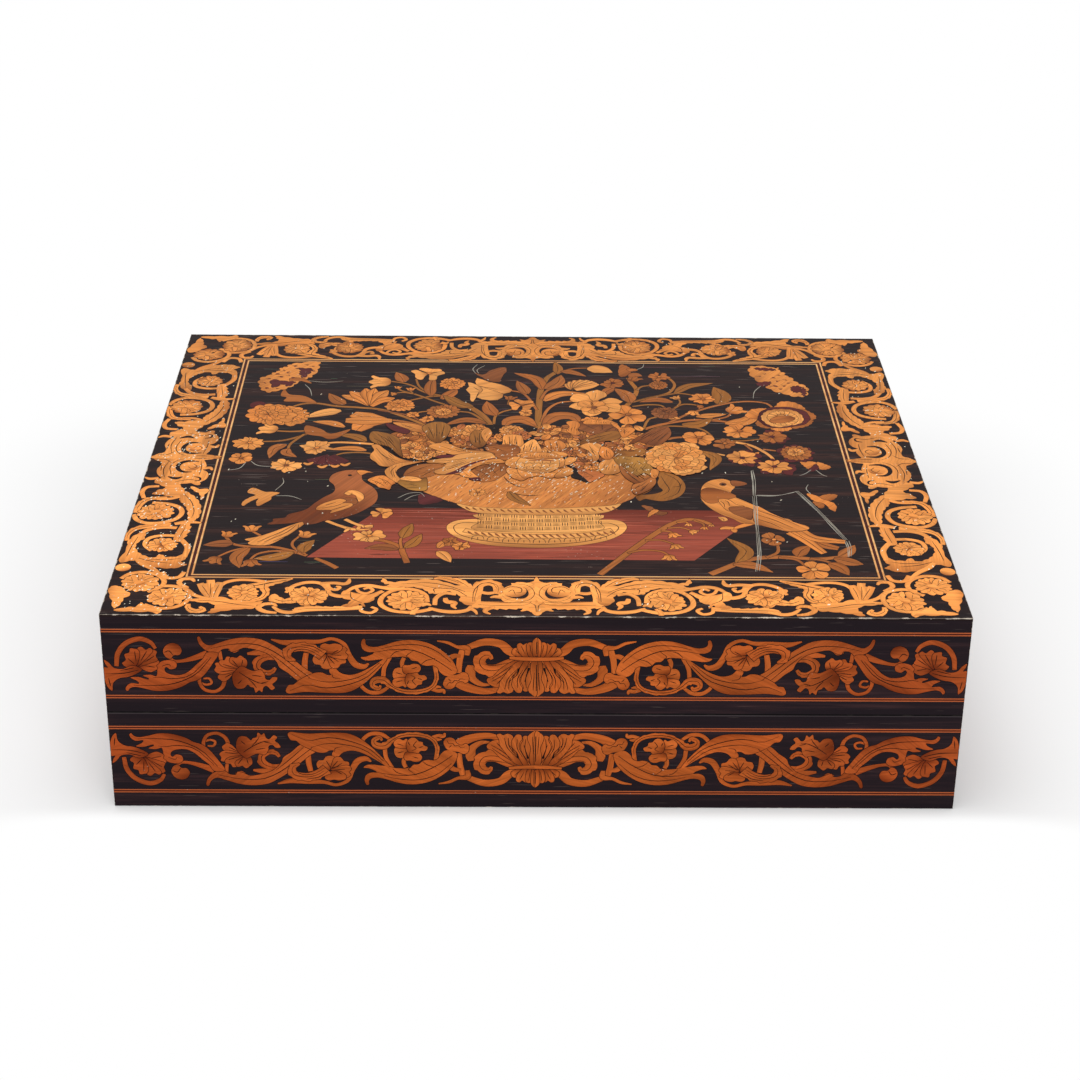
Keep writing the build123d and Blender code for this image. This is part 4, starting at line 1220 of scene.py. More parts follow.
def petals(pen, wood, outline, depth=0.5, bumps=0, shade=None, turn=0, lines=()):
    """A free petal, ruffled if it has bumps, with engraved lines. Fine hatching fills its middle."""
    if bumps:
        pen.patch(ruffle(outline, depth, bumps), wood, shade, turn, smooth=1)
    else:
        pen.patch(outline, wood, shade, turn)
    plan = np.array(outline, float)
    centre = (plan.min(axis=0) + plan.max(axis=0)) / 2
    way = np.array([math.cos(math.radians(turn)), math.sin(math.radians(turn))])
    across = np.array([-way[1], way[0]])
    length, width = np.ptp(plan @ way), np.ptp(plan @ across)
    count = int(width / 2.6) if wood is not PLUM else 0
    for number in range(count):
        offset = centre + across * width * 0.55 * ((number + 0.5) / count - 0.5)
        start = offset + way * length * pen.random.uniform(-0.3, 0.0)
        end = start + way * length * pen.random.uniform(0.12, 0.3)
        pen.line([tuple(start), tuple((start + end) / 2 + across * 0.3), tuple(end)], 0.16)
    for path in lines:
        pen.line(path, 0.24)


def bell(pen, x, y, turn, size, wood):
    """A bell flower seen from the side, its mouth ahead."""
    cup = pen.at(x, y, turn, size)
    cup.patch([(0, 0.3), (0.3, 0.62), (0.75, 0.66), (1.12, 0.98), (1.2, 0.7), (1.02, 0.42), (1.3, 0.15),
               (1.3, -0.12), (1.02, -0.4), (1.22, -0.72), (1.1, -0.95), (0.7, -0.64), (0.3, -0.62),
               (0, -0.3)], wood, (turn, 0.8, -0.7), turn, smooth=2)
    cup.line([(1.1, 0.42), (0.6, 0.2), (0.2, 0.1)], 0.2)
    cup.line([(1.1, -0.38), (0.6, -0.18)], 0.2)


def peony(pen, x, y, radius, wood, squash=1.0):
    """A full flower: rings of ruffled petals that close towards the middle."""
    for share, lobes, turn, shift in ((1, 7, 8, 0), (0.7, 6, 40, 0.08), (0.42, 4, 10, -0.04)):
        pen.rosette(x + shift * radius, y + shift * radius, radius * share, lobes, turn, wood,
                    squash=squash, rings=1)


def butterfly_wings(pen, wood, mark, wings, marks, spots):
    """Ragged wings with ragged marks, short cuts and flecks of the marks' wood."""
    for outline in wings:
        pen.patch(ruffle(outline, 1.5, 22), wood, (200, -0.5, 0.5), 60, smooth=1)
    for outline in marks:
        pen.patch(ruffle(outline, 1.2, 10), mark, None, 20, smooth=1)
    for x, y in spots:
        size, lean = pen.random.uniform(0.6, 1.4), pen.random.uniform(-1.2, 1.2)
        pen.blade([(x - size, y - lean), (x, y), (x + 1.2 * size, y + 0.6 * lean)],
                  [0.3 * size, 0.8 * size, 0.2], mark, (0.1, 0, 0), False, 0.4, 6)
        x, y = x + pen.random.uniform(-2, 2), y + pen.random.uniform(-2, 2)
        pen.line([(x - 2 * size, y + lean), (x, y), (x + 2 * size, y + lean)], 0.24)


def urn(pen):
    """A table and on it a wide urn with a woven foot between two roped rims."""
    pen.patch([(-92, 128), (112, 126.6), (126, 111.6), (91, 64.4), (-132, 66)], TABLE, (270, 0.9, -0.6),
              1, smooth=1)
    # Grain of the table, from end to end of it at each height
    for number in range(150):
        y = pen.random.uniform(66.5, 126)
        low = -131 + (y - 66) * 40 / 62
        high = 91 + (y - 64.4) * 35 / 47.2 if y < 111.6 else 126 - (y - 111.6) * 14 / 15
        length = pen.random.uniform(12, 60)
        x = pen.random.uniform(low, high - length)
        shares = pen.random.choice(((0.6, 0.6, 0.6), (0.8, 0.8, 0.8), (1.1, 1.15, 1.2),
                                    (1.2, 1.4, 1.4)))
        tone = tuple(v * share for v, share in zip(TABLE, shares))
        half = pen.random.uniform(0.3, 0.9)
        pen.mark([(x, y), (x + length / 2, y + 0.2), (x + length, y)], [0.12, half, 0.12], tone,
                 count=5)
    pen.patch([(-32, 114), (-42, 113.4), (-49, 110.6), (-52.6, 104), (-50, 95.6), (-42, 88), (-28, 82),
               (-10, 79.4), (8, 79.2), (25, 82), (40, 87.4), (49.4, 95), (53.8, 104), (52, 111),
               (46, 114), (36, 114), (0, 112)], PALE, (270, -0.6, 0.8))
    pen.mark([(-33, 109), (-43, 109.6), (-48.4, 104), (-44, 94), (-28, 86.4), (-8, 83.4), (10, 83.4),
              (28, 86.6), (43, 94.6), (49, 104), (44, 109.6), (36, 109.4)], [0.24, 0.3, 0.24], KERF, 1,
             60)
    for x in range(-34, 41, 9):
        arch = pen.at(x, 84.6 + 0.0032 * x * x)
        arch.line([(-3.6, 0), (-3, 4), (0, 5.6), (3, 4), (3.6, 0)], 0.28, rise=1)
        arch.line([(0, 0.4), (0, 3.4)], 0.22, rise=1)
    pen.blade([(-42, 100), (-30, 95.6), (-10, 93), (12, 93), (32, 95.6), (45, 101)], [2.4, 2.7, 2.4],
              PALE, (0.5, -0.2, 0.5), rise=1, count=40)
    pen.patch([(-33, 121), (-32, 112), (-38, 102.6), (-24, 99), (0, 97.6), (24, 98.8), (40, 102.6),
               (37, 112), (36, 121)], PALE, (200, -0.5, 0.6), rise=1)
    for row in range(4):
        for column in range(15):
            x = -32.6 + 5 * column
            y = 102.6 + 5 * row + 0.0024 * x * x
            for step in (-1.5, 0, 1.5):
                if (row + column) % 2:
                    pen.line([(x + step, y - 2.2), (x + step, y + 2.2)], 0.26, rise=2)
                else:
                    pen.line([(x - 2.3, y + step), (x + 2.3, y + step)], 0.26, rise=2)
    pen.patch([(-42, 127), (-46, 133), (-51, 136.6), (-58, 141), (-64, 146), (-68, 149.6), (-69, 153),
               (-67, 160), (-70, 172), (-60, 190), (-40, 205), (0, 210), (40, 205), (60, 190),
               (72, 172), (74, 165), (73, 158), (69, 151), (65, 147.6), (61, 145), (59, 141.6),
               (53, 136.6), (48, 131), (30, 129), (0, 127), (-30, 128)], BOWL, (330, -0.7, 0.6), 60,
              rise=1)
    for number in range(560):
        x, y = pen.random.uniform(-66, 66), pen.random.uniform(131, 180)
        reach = min(1.0, (y - 127) / 24)
        if -44 - 26 * reach < x < 48 + 26 * reach:
            tone = (COPPER, RUST, GOLD, STRAW, COPPER, BROWN)[number % 6]
            size = pen.random.uniform(0.6, 1.3)
            pen.mark([(x, y), (x + 1.1 * size, y + 2.4 * size), (x + 2.4 * size, y + 4.4 * size)],
                     [0.1, 0.3, 0.1], tone, 2, 4)
    for path in (
        [(-13, 148.6), (-9, 146), (-2, 145), (4, 146)], [(-40, 152), (-39, 147), (-36, 144)],
        [(-33, 147), (-31, 150)], [(-19, 170), (-16, 163), (-10, 157), (-6, 155.6)],
        [(-30, 168), (-20, 173)], [(42, 173.4), (47, 173.6), (52, 172.4)],
    ):
        pen.line(path, 0.45, rise=3)
    leaf(pen.at(rise=3), OLIVE, 3.2, (-16, 150), (-12, 141), (-3, 132))
    flower(pen.at(rise=3), -35, 148.6, 4.6, 5, 20, GOLD, COPPER)
    pen.patch([(-47, 134), (-43, 128), (-38, 123.6), (-28, 121), (0, 119.6), (30, 120.6), (42, 123.6),
               (48, 128.6), (51.4, 135), (40, 131.4), (0, 127.6), (-34, 129.4)], PALE, (270, -0.4, 0.7),
              rise=3)
    for number in range(22):
        x = -41 + 4.2 * number
        y = 121 + 0.0022 * x * x
        pen.mark([(x - 0.8, y + 5.4), (x, y + 3.6), (x + 2, y + 1)], [0.2, 0.75, 0.2], BROWN, 4)
        low_x = x * 0.95
        pen.mark([(low_x - 1, y - 25.6), (low_x, y - 27.6), (low_x + 2.2, y - 30.4)], [0.2, 0.8, 0.2],
                 BROWN, 4)
    pen.patch([(75, 179), (80, 178), (85, 175.4), (89, 171), (91.6, 164), (92, 156), (89.6, 148),
               (85, 142.4), (78, 138.8), (72, 139.6), (67, 141.6), (64.6, 140), (62.8, 139), (61, 144),
               (64, 146.6), (70, 147.4), (75, 149.4), (78, 153), (76, 158), (75.4, 164), (76.6, 170),
               (75, 174)], OLIVE, (200, -0.3, 0.6), 70, rise=3)
    for path in (
        [(80, 176), (87, 168), (89, 158), (86, 148), (78, 142)],
        [(90, 162), (88.6, 158.6), (84, 157.6)],
        [(78, 172), (80, 163), (82, 153), (76, 145)],
    ):
        pen.line(path, 0.26, rise=4)


def stems(pen):
    """Stalks of the bouquet, from the urn up and out."""
    for width, wood, path in (
        (2.3, OLIVE, [(3, 200), (3, 240), (3, 262), (4, 285), (5, 300), (9, 318), (15, 328)]),
        (2.3, OLIVE, [(-27, 210), (-28, 240), (-33, 258), (-43, 273), (-53, 285), (-58, 292)]),
        (1.0, OLIVE, [(-57, 289), (-68, 288), (-77, 284), (-84, 280)]),
        (0.9, OLIVE, [(-58, 288), (-68, 293), (-76, 303), (-79, 316)]),
        (0.9, OLIVE, [(-66, 289), (-75, 297), (-80, 304), (-87, 309), (-96, 312)]),
        (0.9, OLIVE, [(-58, 275), (-66, 281), (-73, 287), (-81, 293), (-88, 297), (-91, 302)]),
        (0.7, OLIVE, [(-80, 292), (-83, 299)]),
        (0.7, OLIVE, [(-80, 292), (-86, 294), (-92, 293)]),
        (1.3, OLIVE, [(-66, 238), (-75, 248), (-88, 259), (-100, 267), (-115, 270), (-130, 272),
                      (-142, 276), (-152, 275), (-160, 269)]),
        (0.9, BROWN, [(-70, 246), (-80, 257), (-90, 262), (-102, 266)]),
        (1.3, COPPER, [(-66, 238), (-82, 248), (-95, 251), (-108, 250)]),
        (1.0, OLIVE, [(-142, 235), (-155, 233), (-167, 234)]),
        (1.1, OLIVE, [(-143, 232), (-152, 224), (-162, 219), (-173, 218)]),
        (1.0, OLIVE, [(-147, 229), (-151, 222), (-155, 213), (-155, 204)]),
        (1.3, STRAW, [(-102, 215), (-115, 217), (-128, 217), (-136, 213)]),
        (0.9, OLIVE, [(-100, 201), (-110, 203), (-120, 202), (-127, 197)]),
        (0.8, OLIVE, [(-78, 261), (-73, 264), (-66, 265)]),
        (1.0, OLIVE, [(-31, 246), (-36, 256), (-42, 263), (-50, 265)]),
        (1.0, COPPER, [(2, 268), (-1, 279), (-4, 288), (-8, 295), (-15, 298)]),
        (0.9, OLIVE, [(-26, 246), (-25, 258), (-20, 265), (-13, 269)]),
        (0.6, OLIVE, [(-17, 276), (-16, 286)]),
        (1.0, COPPER, [(5, 285), (8, 296), (12, 301), (22, 306)]),
        (1.1, COPPER, [(5, 250), (8, 265), (12, 274), (18, 280), (28, 282)]),
        (1.0, COPPER, [(16, 326), (21, 331), (28, 335), (38, 336)]),
        (1.8, OLIVE,
         [(34, 220), (45, 245), (55, 265), (62, 277), (66, 287), (69, 300), (66, 312), (64, 320)]),
        (1.1, OLIVE, [(62, 279), (75, 287), (88, 294), (93, 301), (95, 310), (92, 319), (87, 322)]),
        (0.9, OLIVE, [(69, 300), (73, 306), (80, 308)]),
        (0.9, OLIVE, [(64, 280), (80, 289), (95, 295), (105, 293), (112, 288)]),
        (0.9, OLIVE, [(65, 274), (75, 277), (84, 276), (87, 269)]),
        (0.9, OLIVE, [(90, 268), (97, 277), (104, 278), (111, 275)]),
        (0.7, OLIVE, [(95, 276), (97, 281), (96, 288)]),
        (1.5, COPPER, [(56, 222), (72, 240), (90, 250), (105, 254), (118, 253), (130, 250)]),
        (1.1, COPPER, [(88, 250), (100, 262), (112, 271), (122, 277), (134, 282), (145, 283),
                       (154, 280), (158, 272)]),
        (0.9, COPPER, [(116, 254), (126, 259), (130, 267)]),
        (1.0, OLIVE, [(70, 232), (82, 243), (95, 244), (108, 240), (114, 230)]),
        (1.3, COPPER, [(78, 221), (90, 227), (100, 228)]),
        (0.8, OLIVE, [(118, 224), (132, 223), (146, 226)]),
        (1.3, STRAW, [(118, 223), (128, 221), (137, 217), (144, 209), (149, 200), (151, 190)]),
        (0.9, COPPER, [(134, 218), (138, 209)]),
        (0.9, COPPER, [(145, 211), (156, 208)]),
        (1.1, STRAW, [(104, 207), (112, 205), (120, 202)]),
        (0.9, OLIVE, [(66, 210), (73, 250), (80, 258), (88, 262)]),
    ):
        stem(pen, wood, width, *path)


def leaves(pen):
    """Leaves of the bouquet."""
    for half, wood, path in (
        (4.4, COPPER, [(-87, 311), (-89, 318), (-93, 327)]),
        (4.4, COPPER, [(-124, 275), (-130, 281), (-136, 292)]),
        (3.4, HONEY, [(-122, 240), (-131, 246), (-143, 248)]),
        (4.8, STRAW, [(-126, 265), (-136, 262), (-149, 254)]),
        (3.8, OLIVE, [(-107, 219), (-114, 226), (-126, 229)]),
        (3.2, HONEY, [(-106, 206), (-116, 209), (-130, 207)]),
        (3.6, COPPER, [(-157, 214), (-164, 208), (-166, 194)]),
        (3.4, COPPER, [(-155, 208), (-156, 202), (-149, 196)]),
        (4, COPPER, [(-68, 289), (-69, 303), (-67, 319)]),
        (4, COPPER, [(-61, 284), (-55, 293), (-51, 300)]),
        (4.6, OLIVE, [(-40, 272), (-50, 277), (-60, 290)]),
        (3.6, COPPER, [(-31, 247), (-44, 252), (-58, 244)]),
        (4.8, COPPER, [(-25, 259), (-29, 268), (-31, 281)]),
        (4.2, COPPER, [(-4, 293), (-7, 302), (-11, 314)]),
        (4.2, COPPER, [(6, 300), (2, 317), (-13, 327)]),
        (5, COPPER, [(8, 301), (16, 311), (19, 324)]),
        (3.4, OLIVE, [(16, 327), (17, 335), (15, 346)]),
        (3.2, COPPER, [(19, 330), (26, 329), (36, 322)]),
        (4.4, HONEY, [(7, 282), (17, 293), (36, 294)]),
        (5.4, COPPER, [(6, 244), (14, 258), (25, 258), (31, 246)]),
        (5.2, COPPER, [(1, 243), (-7, 253), (-16, 251), (-20, 240)]),
        (5, COPPER, [(64, 280), (62, 292), (54, 303)]),
        (3.4, COPPER, [(54, 303), (49, 298), (47, 290)]),
        (3.4, OLIVE, [(94, 295), (104, 307), (121, 312)]),
        (6.4, OLIVE, [(122, 279), (125, 291), (121, 306)]),
        (3.4, COPPER, [(92, 281), (82, 285), (70, 281)]),
        (4.6, OLIVE, [(96, 247), (106, 247), (117, 258)]),
        (3.2, HONEY, [(106, 259), (116, 261), (126, 263)]),
        (5.2, HONEY, [(124, 249), (138, 253), (149, 270)]),
        (3.8, OLIVE, [(105, 208), (114, 198), (109, 181)]),
        (3, HONEY, [(130, 199), (137, 201), (142, 207)]),
    ):
        leaf(pen, wood, half, *path)
    pen.patch([(-166, 298), (-167.6, 288), (-163.4, 285), (-164.6, 279), (-155, 278.6), (-143, 276),
               (-147, 283), (-153, 288), (-162, 290)], COPPER, (140, -0.5, 0.5))
    pen.patch([(-147, 242), (-146, 230), (-136, 226), (-131, 222), (-125, 224.6), (-118, 237),
               (-130, 230), (-137, 237)], COPPER, (270, -0.6, 0.6))


def flowers(pen):
    """Open flowers and buds of the bouquet, outside its crowded middle."""
    for x, y, radius, count, turn, wood, heart, point in (
        (-181, 216, 9.4, 6, 10, GOLD, HONEY, 0), (-138, 209, 9.2, 6, 20, STRAW, HONEY, 0),
        (-155, 184, 9, 6, 0, STRAW, BROWN, 0), (-71, 325, 9.6, 3, 210, STRAW, HONEY, 0),
        (-8, 275, 7.6, 3, 80, HONEY, COPPER, 0), (-5, 263, 4.6, 4, 0, GOLD, COPPER, 0),
        (61, 261, 12.6, 5, 50, HONEY, COPPER, 0.5), (132, 237, 10.6, 5, 20, HONEY, COPPER, 0.2),
        (105, 227, 10.4, 5, 80, HONEY, COPPER, 0.5), (112, 286, 8.4, 5, 20, HONEY, COPPER, 0),
        (152, 229, 9, 5, 40, COPPER, PLUM, 0.1), (130, 198, 9.4, 5, 60, GOLD, PLUM, 0),
        (149, 186, 9.6, 5, 15, GOLD, PLUM, 0), (-98, 92, 8.6, 5, 30, STRAW, HONEY, 0.1),
        (-184, 194, 7.6, 5, 60, HONEY, COPPER, 0.5), (-79, 259, 4.2, 4, 0, HONEY, COPPER, 0),
        (-69, 253, 4.8, 5, 0, HONEY, COPPER, 0), (121, 219, 7.4, 4, 40, COPPER, HONEY, 0),
        (158, 54, 11, 5, 100, HONEY, STRAW, 0.6), (-50, 86, 4.6, 4, 10, COPPER, HONEY, 0),
        (-44, 80, 5, 4, 30, HONEY, COPPER, 0), (-92, 121, 6, 3, 90, GOLD, HONEY, 0.3),
        (53, 311, 7.4, 5, 0, COPPER, PLUM, 0.1), (85, 322, 6.6, 4, 30, COPPER, HONEY, 0),
        (139, 90, 8, 4, 20, COPPER, HONEY, 0.6),
    ):
        flower(pen, x, y, radius, count, turn, wood, heart, point)
    for x, y, turn, size, wood in (
        (-96, 311, 180, 11, STRAW), (-165, 235, 165, 9.4, STRAW), (-91, 300, 80, 3, HONEY),
        (-82, 297, 90, 3.6, HONEY), (-91, 292, 190, 3, HONEY), (-16, 283, 80, 5, COPPER),
        (96, 286, 120, 4, GOLD), (105, 268, 260, 5.4, GOLD), (90, 263, 265, 6.4, GOLD),
        (112, 275, 190, 3.4, COPPER), (128, 266, 40, 9, HONEY), (66, 315, 60, 6, COPPER),
        (-181, 90, 75, 5.4, HONEY), (-167, 97, 90, 6, HONEY), (-136, 90, 70, 6, HONEY),
        (-183, 66, 250, 6.4, COPPER), (-164, 63, 280, 6.4, COPPER), (77, 71, 265, 5, GOLD),
        (81, 84, 280, 4.6, GOLD), (80, 98, 290, 4.6, HONEY), (91, 101, 320, 3.6, GOLD),
        (91, 110, 260, 2.6, GOLD), (100, 106, 260, 2.8, HONEY), (104, 109, 270, 2.2, GOLD),
    ):
        bell(pen, x, y, turn, size, wood)
    for x, y, radius, lobes, wood in (
        (-88, 274, 9.8, 7, HONEY), (-54, 309, 9.6, 6, HONEY), (-59, 264, 11, 7, COPPER),
        (-59, 264, 5.6, 5, GOLD), (84, 308, 6.8, 6, COPPER), (86, 265, 9.4, 6, BROWN),
        (165, 206, 10.4, 6, COPPER), (165, 207, 5.6, 5, GOLD),
    ):
        pen.rosette(x, y, radius, lobes, 13 * lobes, wood, rings=2 if radius > 6 else 1)
    # Ruffled rose at the far left, in two woods
    pen.disc(-181, 273, 5.4, PLUM)
    peony(pen, -160, 257, 15, HONEY, 1.1)
    peony(pen, -172, 259, 17, HONEY, 1.05)
    # Orchid and daffodil on the left
    for path, width in (
        ([(-94, 250), (-106, 253), (-118, 260)], 7.6), ([(-94, 250), (-108, 246), (-114, 235)], 7),
        ([(-92, 250), (-106, 250), (-122, 250)], 6),
    ):
        pen.blade(path, [2.4, width * 0.8, width, width * 0.5], HONEY, (0.5, -0.3, 0))
        pen.line(path[::-1], 0.22)
    for tip_x, tip_y, half in (
        (-127, 289, 4), (-122, 295, 4.2), (-112, 300, 4.6), (-106, 300, 4), (-97, 297, 4.6),
        (-92, 285, 4),
    ):
        middle = ((tip_x - 108) / 2, (tip_y + 276) / 2 + 1)
        pen.blade([(-106.5, 272), middle, (tip_x, tip_y)], [1.4, half * 0.7, half, 0.8], HONEY,
                  (0.5, -0.3, 0))
        pen.line([(tip_x, tip_y - 1), middle, (-106.6, 276)], 0.2)
    for outline in (
        [(-38, 318), (-30, 312), (-22, 308), (-14, 299), (-20, 293), (-30, 300), (-38, 306)],
        [(-38, 306), (-30, 300), (-20, 292), (-24, 283), (-34, 284), (-40, 292)],
        [(-44, 311), (-40, 309), (-36, 304), (-34, 298), (-37, 291), (-40, 280), (-42, 284), (-42, 292),
         (-45, 299), (-43, 304)],
    ):
        pen.patch(outline, STRAW, (180, 0.6, -0.6), 20, smooth=2)
    for path in ([(-37, 305), (-24, 300)], [(-36, 296), (-38, 288)], [(-40, 303), (-36, 298)]):
        pen.line(path, 0.3)
    # Carnation, tulip and lily to the right of the middle
    for turn in range(-60, 61, 20):
        tip = (33 + 12 * math.sin(math.radians(turn)), 304 + 12 * math.cos(math.radians(turn)))
        pen.blade([(28, 300), ((tip[0] + 28) / 2, (tip[1] + 300) / 2), tip], [2, 3.4, 3.6, 2], STRAW,
                  (0.6, -0.2, 0))
        pen.line([tip, (30, 303)], 0.18)
    leaf(pen, STRAW, 6, (37, 335), (45, 334), (54, 329), vein=False)
    flower(pen, 40, 279, 18, 6, 20, STRAW, HONEY, 0.8)
    flower(pen, 39, 272, 11, 5, 60, GOLD, BROWN, 0.8)
    leaf(pen, COPPER, 3.4, (65, 322), (69, 325), (74, 323), vein=False)
    # Dark pansy and the anemone
    pen.rosette(38, 250, 9, 7, 0, HONEY, rings=1)
    flower(pen, 40, 238, 14, 5, 90, PLUM, BROWN, 0)
    for wood, angle, outline in (
        (HONEY, 130,
         [(138.6, 259), (140, 266), (144, 271), (151, 272.4), (158, 272), (151, 262), (145, 256)]),
        (HONEY, 80, [(159, 272), (160.6, 278), (163, 282.4), (168, 283.6), (173, 281.6), (177, 277),
                     (178.4, 271.6), (172, 268)]),
        (COPPER, 20, [(172, 270), (178, 271), (181, 267.6), (183.8, 263.6), (184.4, 258.4),
                      (181.4, 255), (176, 256)]),
        (COPPER, 320,
         [(176, 258), (181.6, 254), (180, 249), (176.4, 245), (171.4, 242.6), (166, 242), (166, 250)]),
        (HONEY, 270,
         [(152, 246), (153.6, 240.4), (158, 237.8), (163.6, 238.4), (166.6, 243), (160, 249)]),
        (COPPER, 210,
         [(150, 256), (145.4, 253), (144, 247.6), (147, 243.4), (152.4, 241.8), (158, 246)]),
        (PLUM, 0, [(147, 262), (150, 268), (154, 272.4), (161, 274.6), (169, 274), (175.6, 270.6),
                   (179.6, 264.6), (180, 257), (177.6, 250.6), (172, 246.4), (164, 243.6), (156, 242.6),
                   (149.6, 246.4), (146.6, 253.6)]),
        (STRAW, 270, [(148.4, 257.6), (150, 263.4), (153, 268), (158, 270.6), (163.6, 271.6),
                      (169.6, 270), (173.8, 265.6), (175.8, 259), (174.8, 252), (170.4, 248),
                      (165, 246), (158.6, 243.8), (153.4, 246), (150, 251)]),
    ):
        pen.patch(ruffle(outline, 0.7, 16 if wood is STRAW else 9), wood, (angle, 0.8, -0.6), angle,
                  smooth=1, over=True)
    for number in range(16):
        angle = 22.5 * number
        spoke = pen.at(162.4 + 7.6 * math.cos(math.radians(angle)),
                       257.4 + 8.4 * math.sin(math.radians(angle)), angle)
        spoke.patch([(-3.4, 0), (-1.4, 1.9), (1.6, 2), (2.6, 0.7), (2.2, -0.3), (2.7, -1.3), (1.2, -2),
                     (-1.4, -1.8)], STRAW, (angle, 0.9, -0.7), angle, smooth=2, over=True)
    pen.patch([(153.4, 252.6), (156, 257.6), (160.6, 260.6), (167, 260.8), (170.4, 257), (167, 252.6),
               (161, 250), (155.6, 250)], COPPER, (200, 0.7, -0.5), 30, smooth=3, over=True)
    for x, y, radius, turn in (
        (154, 229, 9.6, 20), (164, 205, 11.4, 60), (132, 197.6, 10.6, 30), (151.6, 184.6, 11, 50),
    ):
        flower(pen.at(rise=-0.6), x, y, radius, 5, turn, PLUM, BROWN, 0)
    # Hanging dark flower
    for x, tip_y in ((-141, 185), (-132, 181), (-124, 182), (-118, 184)):
        pen.blade([(-128, 198), ((x - 128) / 2, 192), (x, tip_y + 4)], [3, 4.4, 4], PLUM, (0, 0, 0))
        pen.blade([(x - 3, tip_y + 3), (x, tip_y + 1), (x + 3, tip_y + 4)], [0.6, 1.5, 0.6], GOLD,
                  (0, 0, 0))


